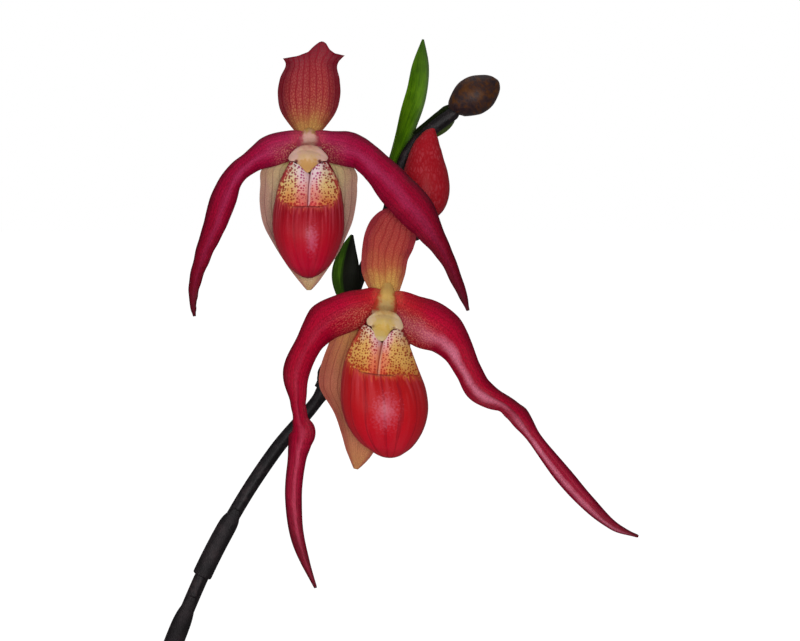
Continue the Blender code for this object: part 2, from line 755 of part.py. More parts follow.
def trim_top(sepal, line):
    """Cuts a sepal off above a line of (x, z) points."""
    outline = line + [(line[-1][0], TRIM_TOP), (line[0][0], TRIM_TOP)]
    mesh = bmesh.new()
    face = mesh.faces.new([mesh.verts.new((x * MM, -TRIM_DEPTH * MM, z * MM)) for x, z in outline])
    grown = bmesh.ops.extrude_face_region(mesh, geom=[face])["geom"]
    corners = [v for v in grown if isinstance(v, bmesh.types.BMVert)]
    bmesh.ops.translate(mesh, vec=(0, 2 * TRIM_DEPTH * MM, 0), verts=corners)
    bmesh.ops.recalc_face_normals(mesh, faces=mesh.faces)
    made = bpy.data.meshes.new("cutter")
    mesh.to_mesh(made)
    mesh.free()
    applied(sepal)
    boolean(sepal, "DIFFERENCE", add_object("cutter", made, sepal.data.materials[0], collection=CUTTERS))


def flower_empty(name, frame):
    empty = bpy.data.objects.new(name, None)
    PLANT.objects.link(empty)
    placed = frame.copy()
    placed.translation = frame.translation * MM
    empty.matrix_world = placed
    return empty


def make_flower(letter, frame, petals, dorsal, synsepal, pouch, finishes, top=None):
    name = f"flower_{letter}"
    empty = flower_empty(name, frame)
    sepal = blade(f"{name}_dorsal_sepal", dorsal, finishes["sepal"], 12, 8, 1)
    if top:
        trim_top(sepal, top)
    sepal.parent = empty
    blade(f"{name}_left_petal", petals[0], finishes["petal"], 22, 6, 1, empty)
    blade(f"{name}_right_petal", petals[1], finishes["petal"], 22, 6, -1, empty)
    blade(f"{name}_synsepal", synsepal, finishes["synsepal"], 12, 8, 1, empty)
    make_pouch(f"{name}_pouch", finishes["pouch"], *pouch, empty)
    make_column(f"{name}_column", finishes["column"], empty)


def sheath(name, foot, length, finish):
    """A tight tubular bract round the lower stem, from a share of the stem's spline up, with a pointed end in
    front and its margins behind."""
    stations = []
    for i in range(7):
        share = foot + length * i / 6
        place = Vector(along(STEM, share)[:3])
        radius = stem_radius(share) + GAP + BRACT_THICKNESS / 2
        arc = (150, 150, 150, 145, 120, 70, 20)[i]
        stations.append((*(place - Vector((0, 1, 0)) * radius), *[radius * math.radians(arc)] * 2, 0, -arc))
    return blade(name, stations, finish, 9, 8, 1, thickness=BRACT_THICKNESS)


def bract(name, node, outward, above, finish, rows, feet=3, clasp=1.0):
    """A boat-shaped bract: its foot clasps the stem on the outward side, and it runs on through the stations
    above."""
    up = tangent(STEM, node)
    outward = Vector(outward)
    outward = (outward - up * outward.dot(up)).normalized()
    stations = []
    for lift, arc, clear in ((0.5, 112, 0.0), (2.6, 95, 0.2), (5.0, 70, 0.8))[:feet]:
        radius = stem_radius(node) + GAP + BRACT_THICKNESS / 2 + clear
        place = Vector(along(STEM, node)[:3]) + up * lift + outward * radius
        stations.append((*place, *[radius * math.radians(arc * clasp)] * 2, 0, arc * clasp))
    return blade(name, stations + above, finish, rows, 6, 1, thickness=BRACT_THICKNESS, facing=-outward)


def make_bracts(finish, dark):
    sheath("sheath_1", *SHEATH_1, dark)
    sheath("sheath_2", *SHEATH_2, dark)
    bract("bract_a", NODE_A, (-0.5, -0.86, 0), BRACT_A, finish, 10)
    bract("bract_b", NODE_B, (-0.95, -0.2, 0), BRACT_B, dark, 9)
    bract("bract_c", NODE_C, (-0.86, 0.5, 0), BRACT_C, finish, 13)
    bract("bract_d", NODE_D, (-0.5, 0.5, 0.7), BRACT_D, finish, 8, feet=2, clasp=0.45)


def new_collection(name):
    made = bpy.data.collections.new(name)
    bpy.context.scene.collection.children.link(made)
    return made


clear_scene()
PLANT = new_collection("potted_slipper_orchid")
CUTTERS = new_collection("cutters")
CHIPS = new_collection("chips")

petal_red = material("petal_red", (0.38, 0.012, 0.05), 0.5)
sepal_red = material("sepal_red", (0.33, 0.03, 0.04), 0.55)
synsepal_tan = material("synsepal_tan", (0.42, 0.22, 0.13), 0.55)
pouch_red = material("pouch_red", (0.45, 0.01, 0.03), 0.35)
column_cream = material("column_cream", (0.75, 0.55, 0.32), 0.45)
stem_dark = material("stem_dark", (0.02, 0.014, 0.012), 0.5)
bract_green = material("bract_green", (0.05, 0.14, 0.012), 0.5)
leaf_green = material("leaf_green", (0.06, 0.15, 0.03), 0.4)
bud_dark = material("bud_dark", (0.05, 0.02, 0.018), 0.6)
bark_brown = material("bark_brown", (0.13, 0.065, 0.035), 0.85)
pot_clay = material("pot_clay", (0.42, 0.16, 0.08), 0.6)

make_pot(pot_clay)
make_bark(bark_brown)
make_leaves(leaf_green)
make_stem(stem_dark)
make_bracts(bract_green, stem_dark)

finishes = {"sepal": sepal_red, "petal": petal_red, "synsepal": synsepal_tan, "pouch": pouch_red,
            "column": column_cream}
frame_a = flower_frame(FLOWER_A_AT, 0)
frame_b = flower_frame(FLOWER_B_AT, B_LEAN)
make_flower("a", frame_a, (PETAL_A_LEFT, PETAL_A_RIGHT), DORSAL_A, SYNSEPAL_A, (POUCH_A, POUCH_A_FLOOR),
            finishes, DORSAL_A_TOP)
make_flower("b", frame_b, (PETAL_B_LEFT, PETAL_B_RIGHT), DORSAL_B, SYNSEPAL_B, (POUCH_B, POUCH_B_FLOOR),
            finishes)
make_ovary("flower_a_ovary", stem_dark, knob(frame_a), NODE_A, 3.5,
           [(96.8, -13, 554.5, 2.7), (100.5, -6.5, 545, 2.7), (103.6, -2.6, 531, 2.5),
            (106.2, -2.4, 514, 2.1)])
make_ovary("flower_b_ovary", stem_dark, knob(frame_b), NODE_B, 8.5,
           [(121, -41, 495.5, 2.9), (113, -31.5, 489, 2.8), (107.6, -25, 482.5, 2.5), (105, -20, 476, 2.0)])
make_ovary("bud_c_ovary", stem_dark, [(138.1, -13.2, 524.9, 2.3), (137.4, -12.6, 523, 2.3)], NODE_C, 3.5,
           [(135, -10.6, 521.6, 2.1), (131.6, -7.6, 524.2, 1.9)])
round_body("bud_c", BUD_C, sepal_red, 12, BUD_SIDES)
round_body("tip_bud", BUD_D, bud_dark, 10, BUD_SIDES)

for helper in (CUTTERS, CHIPS):
    bpy.data.collections.remove(helper)
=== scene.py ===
import functools
import math
import random

import bpy
import numpy as np
from mathutils import Matrix, Vector, noise


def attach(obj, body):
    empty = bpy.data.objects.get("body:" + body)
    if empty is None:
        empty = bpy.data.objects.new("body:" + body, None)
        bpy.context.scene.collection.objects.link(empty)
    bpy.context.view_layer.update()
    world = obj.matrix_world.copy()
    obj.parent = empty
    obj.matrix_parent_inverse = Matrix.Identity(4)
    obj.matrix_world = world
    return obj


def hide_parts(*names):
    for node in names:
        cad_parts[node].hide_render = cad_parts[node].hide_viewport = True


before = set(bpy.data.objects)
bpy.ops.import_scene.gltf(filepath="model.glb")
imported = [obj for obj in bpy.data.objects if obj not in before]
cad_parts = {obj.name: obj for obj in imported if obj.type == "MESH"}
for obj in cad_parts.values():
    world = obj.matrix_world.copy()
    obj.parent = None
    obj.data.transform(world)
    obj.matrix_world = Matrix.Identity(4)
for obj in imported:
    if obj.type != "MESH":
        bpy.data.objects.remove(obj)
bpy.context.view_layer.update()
mm = 0.001
facingFront = (0, -1, 0)
print("frame loaded:", len(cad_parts), "nodes")


def linear(hexColour):
    # an sRGB hex value as linear RGBA
    parts = [int(hexColour[i:i + 2], 16) / 255 for i in (1, 3, 5)]
    return (*[c / 12.92 if c <= 0.04045 else ((c + 0.055) / 1.055) ** 2.4 for c in parts], 1.0)


# settings that many nodes share
eased = {"interpolation_type": "SMOOTHSTEP"}
rgba = {"data_type": "RGBA"}
planar = {"noise_dimensions": "2D"}


def fill(tree, socket, value):
    # links a node or socket to the socket, or gives it a hex colour or a value
    if isinstance(value, bpy.types.Node):
        value = next(s for s in value.outputs if s.enabled)
    if isinstance(value, bpy.types.NodeSocket):
        tree.links.new(value, socket)
    else:
        socket.default_value = linear(value) if isinstance(value, str) else value


def addNode(tree, kind, inputs=(), stops=(), **settings):
    # adds a node with its settings, and its inputs by name or in the order of its enabled sockets. A
    # second word of its kind is its operation. Map Range takes value, from low, from high, to low, to
    # high; Mix takes factor, a, b.
    kind, _, operation = kind.partition(" ")
    node = tree.nodes.new("ShaderNode" + kind)
    if operation:
        node.operation = operation
    for name, value in settings.items():
        setattr(node, name, value)
    sockets = [s for s in node.inputs if s.enabled]
    for name, value in inputs.items() if isinstance(inputs, dict) else enumerate(inputs):
        fill(tree, sockets[name] if isinstance(name, int) else next(s for s in sockets if s.name == name),
             value)
    for i, (place, value) in enumerate(stops):
        ramp = node.color_ramp.elements
        stop = ramp[i] if i < len(ramp) else ramp.new(place)
        stop.position = place
        stop.color = linear(value) if isinstance(value, str) else (value, value, value, 1.0)
    return node


def newMaterial(name, look):
    # a Principled material with its fixed values, and what adds its nodes and fills its sockets
    made = bpy.data.materials.new(name)
    made.use_nodes = True
    tree = made.node_tree
    shader = tree.nodes["Principled BSDF"]

    def give(socket, value):
        fill(tree, shader.inputs[socket], value)
    for socket, value in look.get("surface", {}).items():
        give(socket, value)
    return made, functools.partial(addNode, tree), give


# Shapes

def wavered(add, value, pattern, amount):
    # the value, moved up and down by a noise
    return add("Math MULTIPLY_ADD", [add("Math SUBTRACT", [pattern, 0.5]), amount, value])


def apart(add, value, place):
    # how far the value is from a place
    return add("Math ABSOLUTE", [add("Math SUBTRACT", [value, place])])


def between(a, b, c, d, f):
    # the smooth curve from b to c at a share f of it, with a and d as its neighbours
    return 0.5 * (2 * b + (c - a) * f + (2 * a - 5 * b + 4 * c - d) * f * f + (3 * b - a - 3 * c + d) * f**3)


def spline(stations, share):
    # a smooth curve through the stations, at a share of it from 0 to 1
    last = len(stations) - 1
    place = min(max(share, 0.0) * last, last - 1e-9)
    i = int(place)
    four = (stations[max(i - 1, 0)], stations[i], stations[i + 1], stations[min(i + 2, last)])
    return [between(*values, place - i) for values in zip(*four)]


def closedSpline(outline, count):
    # evenly numbered points round a closed outline
    ring = list(outline[-1:]) + list(outline) + list(outline[:3])
    made = []
    for i in range(count):
        place = 1 + len(outline) * i / count
        j = int(place)
        made.append(between(*(np.array(ring[k]) for k in (j - 1, j, j + 1, j + 2)), place - j))
    return np.array(made)


def unit(vectors):
    return vectors / np.maximum(np.linalg.norm(vectors, axis=-1, keepdims=True), 1e-9)


def smoothStep(low, high, value):
    t = np.clip((value - low) / (high - low), 0, 1)
    return t * t * (3 - 2 * t)


def bladeGrid(stations, rows, columns, side=1, facing=facingFront, relief=None):
    # points in mm over a blade, as [row, column, xyz], with how far across (-1 to 1) and along (0 to 1)
    # each is. Columns lie closer towards the margins, so that the edges come out round.
    along = np.linspace(0, 1, rows + 1)
    across = np.sin(np.linspace(-1, 1, columns + 1) * math.pi / 2)
    line = np.array([spline(stations, s) for s in along])
    centre = line[:, :3]
    forward = unit(np.gradient(centre, axis=0))
    out = side * unit(np.cross(forward, facing))
    front = side * np.cross(out, forward)
    roll = side * np.radians(line[:, 5:6])
    out, front = (out * np.cos(roll) + np.cross(forward, out) * np.sin(roll),
                  front * np.cos(roll) + np.cross(forward, front) * np.sin(roll))
    u, v = np.meshgrid(across, along)
    half = np.maximum(np.where(u > 0, line[:, 4:5], line[:, 3:4]), 0.3)
    arc = np.radians(line[:, 6:7])
    arc = np.where(np.abs(arc) < 1e-3, 1e-3, arc)
    flat = half * np.sin(np.abs(u) * arc) / arc * np.sign(u)
    deep = half * (1 - np.cos(np.abs(u) * arc)) / arc
    if relief:
        deep = deep + relief(u, v, half)
    points = centre[:, None] + out[:, None] * flat[..., None] + front[:, None] * deep[..., None]
    return points, u, v


def meshObject(name, points, faces, finish, uvs=None, floats=None):
    # an object from points in mm, with a UV map or a number at each point for the materials to read
    mesh = bpy.data.meshes.new(name)
    mesh.from_pydata([tuple(p) for p in np.asarray(points) * mm], [], faces)
    loops = np.zeros(len(mesh.loops), np.int32)
    mesh.loops.foreach_get("vertex_index", loops)
    for label, values in (uvs or {}).items():
        layer = mesh.uv_layers.new(name=label)
        layer.data.foreach_set("uv", np.asarray(values, np.float32)[loops].ravel())
    for label, values in (floats or {}).items():
        layer = mesh.attributes.new(label, "FLOAT", "POINT")
        layer.data.foreach_set("value", np.asarray(values, np.float32).ravel())
    mesh.shade_smooth()
    mesh.validate()
    made = bpy.data.objects.new(name, mesh)
    bpy.context.scene.collection.objects.link(made)
    made.data.materials.append(finish)
    return made


def gridFaces(index, wrap=False):
    # quads over a grid of point numbers
    if wrap:
        index = np.concatenate([index, index[:, :1]], axis=1)
    return np.stack([index[:-1, :-1], index[:-1, 1:], index[1:, 1:], index[1:, :-1]], axis=-1).reshape(-1, 4)


def tipFaces(ring, tip, turned=False):
    # triangles from a closed ring of points to one more
    return [[b, a, tip] if turned else [a, b, tip] for a, b in zip(ring, np.roll(ring, -1))]


def travelled(points, axis):
    # how far each point is from the first one, along its row or column
    steps = np.linalg.norm(np.diff(points, axis=axis), axis=-1)
    return np.insert(np.cumsum(steps, axis=axis), 0, 0, axis=axis)


def sheetObject(name, grid, finish, thickness, towards):
    # a closed thin sheet: thickest in its middle, with its two faces meeting along the margins
    points, u, v = grid
    rows, columns = u.shape
    slope = unit(np.cross(np.gradient(points, axis=1), np.gradient(points, axis=0)))
    turned = np.mean(slope @ np.array(towards)) < 0
    if turned:
        slope = -slope
    swell = np.sqrt(np.clip(1 - np.abs(u) ** 5, 0, 1)) * np.sqrt(np.clip(1 - np.abs(2 * v - 1) ** 30, 0, 1))
    swell[0], swell[-1], swell[:, 0], swell[:, -1] = 0, 0, 0, 0
    lift = slope * (swell * thickness / 2)[..., None]
    top = np.arange(rows * columns).reshape(rows, columns)
    bottom = top.copy()
    bottom[1:-1, 1:-1] = np.arange((rows - 2) * (columns - 2)).reshape(rows - 2, columns - 2) + rows * columns
    faces = [gridFaces(top), gridFaces(bottom)]
    over = 0 if turned else 1
    faces[over] = faces[over][:, ::-1]
    acrossMm = travelled(points, 1)
    acrossMm -= acrossMm[:, columns // 2][:, None]

    def stacked(upper, lower):
        # every upper point, then the lower ones inside the margins
        shape = (-1, *upper.shape[2:])
        return np.concatenate([upper.reshape(shape), lower[1:-1, 1:-1].reshape(shape)])
    size = np.stack([acrossMm, travelled(points, 0)], axis=-1)
    share = np.stack([u, v], axis=-1)
    return meshObject(name, stacked(points + lift, points - lift), np.concatenate(faces).tolist(), finish,
                      uvs={"size": stacked(size, size), "share": stacked(share, share)},
                      floats={"front": stacked(np.ones(u.shape), np.zeros(u.shape))})


def tubeObject(name, stations, finish, rings, sides, profile):
    # a round body along the spline through (x, y, z, radius) stations, drawn in to a point at both ends.
    # profile(angle, share) scales its radius.
    share = np.linspace(0, 1, rings + 1)
    line = np.array([spline(stations, s) for s in share])
    centre, radius = line[:, :3], np.maximum(line[:, 3], 0.05)
    forward = unit(np.gradient(centre, axis=0))
    first = unit(np.cross(forward, (0, 1, 0)))
    second = np.cross(forward, first)
    angle = np.linspace(0, 2 * math.pi, sides, endpoint=False)
    size = radius[:, None] * profile(angle[None], share[:, None])
    ring = (centre[:, None] + first[:, None] * (size * np.cos(angle))[..., None]
            + second[:, None] * (size * np.sin(angle))[..., None])
    points = np.concatenate([ring.reshape(-1, 3), centre[:1], centre[-1:]])
    index = np.arange((rings + 1) * sides).reshape(rings + 1, sides)
    low, high = len(points) - 2, len(points) - 1
    faces = gridFaces(index, wrap=True).tolist()
    faces += tipFaces(index[0], low, turned=True) + tipFaces(index[-1], high)

    def mapped(values):
        # the angle with a value of each ring, and both ends
        flat = np.stack(np.meshgrid(angle / (2 * math.pi), values), axis=-1).reshape(-1, 2)
        return np.concatenate([flat, [[0, values[0]], [0, values[-1]]]])
    return meshObject(name, points, faces, finish,
                      uvs={"size": mapped(travelled(centre, 0)), "share": mapped(share)})


def inPlant(points, place):
    # points taken from a flower's own axes into the plant's
    return points @ np.array(place.to_3x3()).T + np.array(place.translation)


def placed(grid, place):
    # the same grid, in the plant's axes
    return (inPlant(grid[0], place), *grid[1:])


def handOver(thing, node):
    # the piece stands for the CAD node and rides on the plant
    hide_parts(node)
    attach(thing, "root")
    return thing


# Materials

def veinPattern(add, look):
    # long veins that follow the blade, as 0 to 1, from the blade's share map: their count across it, and
    # how far they wander
    u = add("SeparateXYZ", [add("UVMap", uv_map="share")]).outputs[0]
    wander = add("TexNoise", [add("UVMap", uv_map="size"), look["wanderScale"], 2.0], **planar)
    place = wavered(add, add("Math MULTIPLY", [u, look["count"] / 2]), wander, look["wander"])
    return add("MapRange", [add("Math PINGPONG", [place, 1.0]), look["width"], 0.0, 0.0, 1.0], **eased)


def petalMaterial(name, look):
    # Orchid tepal: a living, waxy-velvet skin over soft cells. It gives deep colour, a faint cell grain
    # and a low broad gloss, with a paler band of painted sheen, darker margins that are partly painted shade,
    # and long veins.
    made, add, give = newMaterial(name, look)
    size = add("UVMap", uv_map="size")
    share = add("SeparateXYZ", [add("UVMap", uv_map="share")])
    u, v = share.outputs[0], share.outputs[1]
    edge = add("Math ABSOLUTE", [u])
    tone = add("TexNoise", [size, 1 / look["blotchMm"], 4.0], **planar)
    along = add("Math MULTIPLY_ADD", [tone, 0.12, v])
    along = add("Math SUBTRACT", [along, 0.06])
    colour = add("ValToRGB", [along], stops=look["along"])
    veins = veinPattern(add, look["veins"])
    # the net between the long veins
    net = add("TexVoronoi", [add("Mapping", {"Vector": size, "Scale": look["netScale"]}), 1.0],
              feature="DISTANCE_TO_EDGE", voronoi_dimensions="2D")
    netLine = add("MapRange", [net, look["netWidth"], 0.02, 0.0, 1.0])
    lines = add("Math MAXIMUM", [veins, add("Math MULTIPLY", [netLine, look["netShare"]])])
    veinAmount = add("Math MULTIPLY", [lines, add("ValToRGB", [v], stops=look["veinAlong"])])
    colour = add("Mix", [veinAmount, colour, look["veinColour"]], **rgba)
    if "paintedSheen" in look:
        # painted sheen: a paler band down the middle, painted where a soft highlight lies
        paintedSheen = look["paintedSheen"]
        aside = apart(add, u, paintedSheen["at"])
        band = add("MapRange", [add("Math MULTIPLY_ADD", [tone, 0.5, aside]), paintedSheen["reach"] + 0.25, 0.25,
                                0.0, 1.0], **eased)
        band = add("Math MULTIPLY", [band, add("ValToRGB", [v], stops=paintedSheen["along"])])
        colour = add("Mix", [band, colour, paintedSheen["colour"]], **rgba)
    # darker margins, the outer or upper one the darker: partly the blade's own colour, partly painted shade
    # where the margins curve away from the light
    marginWave = add("Math MULTIPLY_ADD", [tone, 0.16, edge])
    margin = add("MapRange", [marginWave, look["marginFrom"] + 0.08, 1.08, 0.0, look["marginAmount"]],
                 **eased)
    outer = add("MapRange", [u, -0.3, 0.3, look["innerMargin"], 1.0])
    margin = add("Math MULTIPLY", [margin, outer])
    margin = add("Math MULTIPLY", [margin, add("ValToRGB", [v], stops=look["marginAlong"])])
    colour = add("Mix", [margin, colour, look["marginColour"]], **rgba)
    if "hair" in look:
        # short hairs near the foot, on the lower half: a dark zone with pale stippling
        hair = look["hair"]
        zoneAlong = add("ValToRGB", [v], stops=hair["along"])
        zoneAcross = add("MapRange", [add("Math MULTIPLY_ADD", [tone, 0.3, u]), 0.45, 0.0, 0.0, 1.0],
                         **eased)
        zone = add("Math MULTIPLY", [zoneAlong, zoneAcross])
        colour = add("Mix", [zone, colour, hair["ground"]], **rgba)
        dots = add("TexNoise", [size, 1 / hair["spacingMm"], 1.0], **planar)
        dot = add("MapRange", [dots, 0.5, 0.62, 0.0, hair["amount"]])
        dotZone = add("ValToRGB", [v], stops=hair["dotsAlong"])
        dot = add("Math MULTIPLY", [dot, add("Math MULTIPLY", [dotZone, zoneAcross])])
        colour = add("Mix", [dot, colour, hair["dots"]], **rgba)
    grain = add("TexNoise", [size, 1 / look["grainMm"], 2.0], **planar)
    speck = add("MapRange", [grain, 0.25, 0.75, 1 - look["speckle"], 1 + look["speckle"]])
    colour = add("VectorMath SCALE", [colour, speck])
    # the back of the blade is duller and paler
    back = add("Mix", [look["backAmount"], colour, look["backColour"]], **rgba)
    front = add("Attribute", attribute_name="front")
    colour = add("Mix", [front.outputs["Fac"], back, colour], **rgba)
    give("Base Color", colour)
    rough = add("MapRange", [grain, 0.3, 0.7, look["rough"] - 0.06, look["rough"] + 0.08])
    give("Roughness", rough)
    fine = add("Math MULTIPLY", [grain, look["grainRelief"]])
    height = add("Math MULTIPLY_ADD", [veins, look["veinRelief"], fine])
    bump = add("Bump", {"Height": height, "Strength": look["bump"], "Distance": 0.4 * mm})
    give("Normal", bump)
    return made


waxySkin = {"IOR": 1.4, "Specular IOR Level": 0.12, "Subsurface Weight": 0.05,
            "Subsurface Radius": (1.2, 0.3, 0.25), "Subsurface Scale": 0.0012}

petalLookA = {
    "surface": waxySkin, "blotchMm": 9.0, "grainMm": 0.55, "rough": 0.46, "bump": 0.4,
    "along": [(0.0, "#c49080"), (0.035, "#b86a66"), (0.075, "#a8384a"), (0.16, "#a4204a"), (0.34, "#9e0a38"),
              (0.6, "#900228"), (0.8, "#6c0218"), (1.0, "#38020a")],
    "veins": {"count": 17, "width": 0.3, "wander": 1.6, "wanderScale": 0.12},
    "netScale": (0.9, 0.35, 1.0), "netShare": 0.4, "netWidth": 0.2, "veinColour": "#54041c",
    "veinAlong": [(0.0, 0.0), (0.15, 0.4), (1.0, 0.6)],
    # painted sheen down the middle: where across, how wide, its colour and how strong along the blade
    "paintedSheen": {"at": -0.1, "reach": 0.5, "colour": "#ac3460", "along": [(0.0, 0.0), (0.2, 0.4), (0.35, 0.6),
                                                                      (0.6, 0.4), (0.8, 0.15), (1.0, 0.0)]},
    "marginFrom": 0.4, "marginAmount": 0.9, "marginColour": "#340210", "innerMargin": 0.6, "speckle": 0.3,
    "marginAlong": [(0.0, 0.1), (0.12, 0.45), (0.3, 0.8), (1.0, 1.0)],
    "hair": {"along": [(0.0, 0.0), (0.05, 0.7), (0.18, 0.55), (0.28, 0.0)], "ground": "#7c1820",
             "spacingMm": 0.55,
             "amount": 0.4, "dots": "#b8906c",
             "dotsAlong": [(0.0, 0.0), (0.07, 0.3), (0.16, 1.0), (0.24, 0.5), (0.3, 0.0)]},
    "backAmount": 0.4, "backColour": "#7d3a38", "veinRelief": -0.5, "grainRelief": 0.5,
}
petalLookB = dict(petalLookA, **{
    "along": [(0.0, "#c49a68"), (0.03, "#bc5a3c"), (0.08, "#ae1a24"), (0.2, "#ac082e"), (0.4, "#9a0224"),
              (0.6, "#900224"), (0.84, "#8c062a"), (1.0, "#480410")],
    "veinColour": "#640418", "marginColour": "#38020c",
    "paintedSheen": dict(petalLookA["paintedSheen"], colour="#b8405a", at=0.0, reach=0.35,
                  along=[(0.0, 0.0), (0.3, 0.2), (0.6, 0.3), (0.75, 0.8), (0.9, 0.6), (1.0, 0.0)]),
    "hair": dict(petalLookA["hair"], ground="#9c2620", amount=0.3),
})
petalLookBRight = dict(petalLookB, **{"marginFrom": 0.25, "marginColour": "#3c0212",
                                      "paintedSheen": dict(petalLookA["paintedSheen"], colour="#c87088", at=-0.35,
                                                    reach=0.45,
                                                    along=[(0.0, 0.0), (0.08, 0.4), (0.16, 0.7), (0.5, 0.8),
                                                           (0.62, 0.25), (0.72, 0.7), (0.92, 0.4),
                                                           (1.0, 0.0)])})
dorsalLookA = {
    "surface": waxySkin, "blotchMm": 4.0, "grainMm": 0.4, "rough": 0.48, "bump": 0.5,
    "along": [(0.0, "#b8924e"), (0.1, "#b08248"), (0.2, "#a86042"), (0.36, "#a8483e"), (0.6, "#9a3a3a"),
              (0.85, "#802a32"), (1.0, "#601422")],
    "veins": {"count": 19, "width": 0.36, "wander": 0.7, "wanderScale": 0.2},
    "netScale": (1.15, 0.75, 1.0), "netShare": 0.95, "veinColour": "#86021e",
    "veinAlong": [(0.0, 0.15), (0.12, 0.4), (0.28, 0.9), (1.0, 0.8)],
    "marginFrom": 0.42, "marginAmount": 0.95, "marginColour": "#5c0416", "innerMargin": 1.0, "speckle": 0.22,
    "marginAlong": [(0.0, 0.7), (0.2, 1.0)], "netWidth": 0.3,
    "backAmount": 0.5, "backColour": "#7d4a3c", "veinRelief": -0.7, "grainRelief": 0.25,
}
dorsalLookB = dict(dorsalLookA, **{
    "along": [(0.0, "#c09c50"), (0.14, "#bc8c4a"), (0.26, "#b0603e"), (0.42, "#ae4c3e"), (0.7, "#a4423e"),
              (1.0, "#882c38")],
    "veinColour": "#8c0c1c", "marginFrom": 0.4, "marginColour": "#7c1c2c", "marginAmount": 0.8,
    "veins": {"count": 15, "width": 0.42, "wander": 1.6, "wanderScale": 0.14},
    "netShare": 0.6, "veinAlong": [(0.0, 0.1), (0.2, 0.5), (1.0, 0.75)],
})
synsepalLookA = {
    "surface": waxySkin, "blotchMm": 7.0, "grainMm": 0.4, "rough": 0.52, "bump": 0.35,
    "along": [(0.0, "#b8a860"), (0.15, "#c4ac7c"), (0.32, "#d0b492"), (0.6, "#d0ae98"), (0.85, "#c8a680"),
              (1.0, "#b08c5c")],
    "veins": {"count": 27, "width": 0.3, "wander": 0.5, "wanderScale": 0.1},
    "netScale": (0.7, 0.25, 1.0), "netShare": 0.25, "veinColour": "#8c6c54",
    "veinAlong": [(0.0, 0.5), (0.5, 0.7), (1.0, 0.5)],
    "marginFrom": 0.5, "marginAmount": 0.6, "marginColour": "#8c4c58", "innerMargin": 1.0, "speckle": 0.2,
    "marginAlong": [(0.0, 1.0), (1.0, 1.0)], "netWidth": 0.16,
    "backAmount": 0.5, "backColour": "#8a6a58", "veinRelief": -0.5, "grainRelief": 0.2,
}
synsepalLookB = dict(synsepalLookA, **{
    "along": [(0.0, "#c09a4c"), (0.2, "#c88852"), (0.45, "#cc8062"), (0.75, "#c07c5c"), (1.0, "#a87444")],
    "veinColour": "#a05440", "marginColour": "#7c1c2c", "marginFrom": 0.5,
})


def flowerPlace(look):
    # a flower's own axes: x to the right of who looks at it, y to its back, z up, in mm
    turn = Matrix.Rotation(math.radians(-look["faceUp"]), 4,
                           "X") @ Matrix.Rotation(math.radians(look["lean"]), 4, "Y")
    return Matrix.Translation(look["at"]) @ turn


def mirrored(half):
    # a whole outline from its right half, top to foot, whose ends lie on the middle line
    middle = half[0][0]
    return half + [(2 * middle - x, z) for x, z in reversed(half[1:-1])]


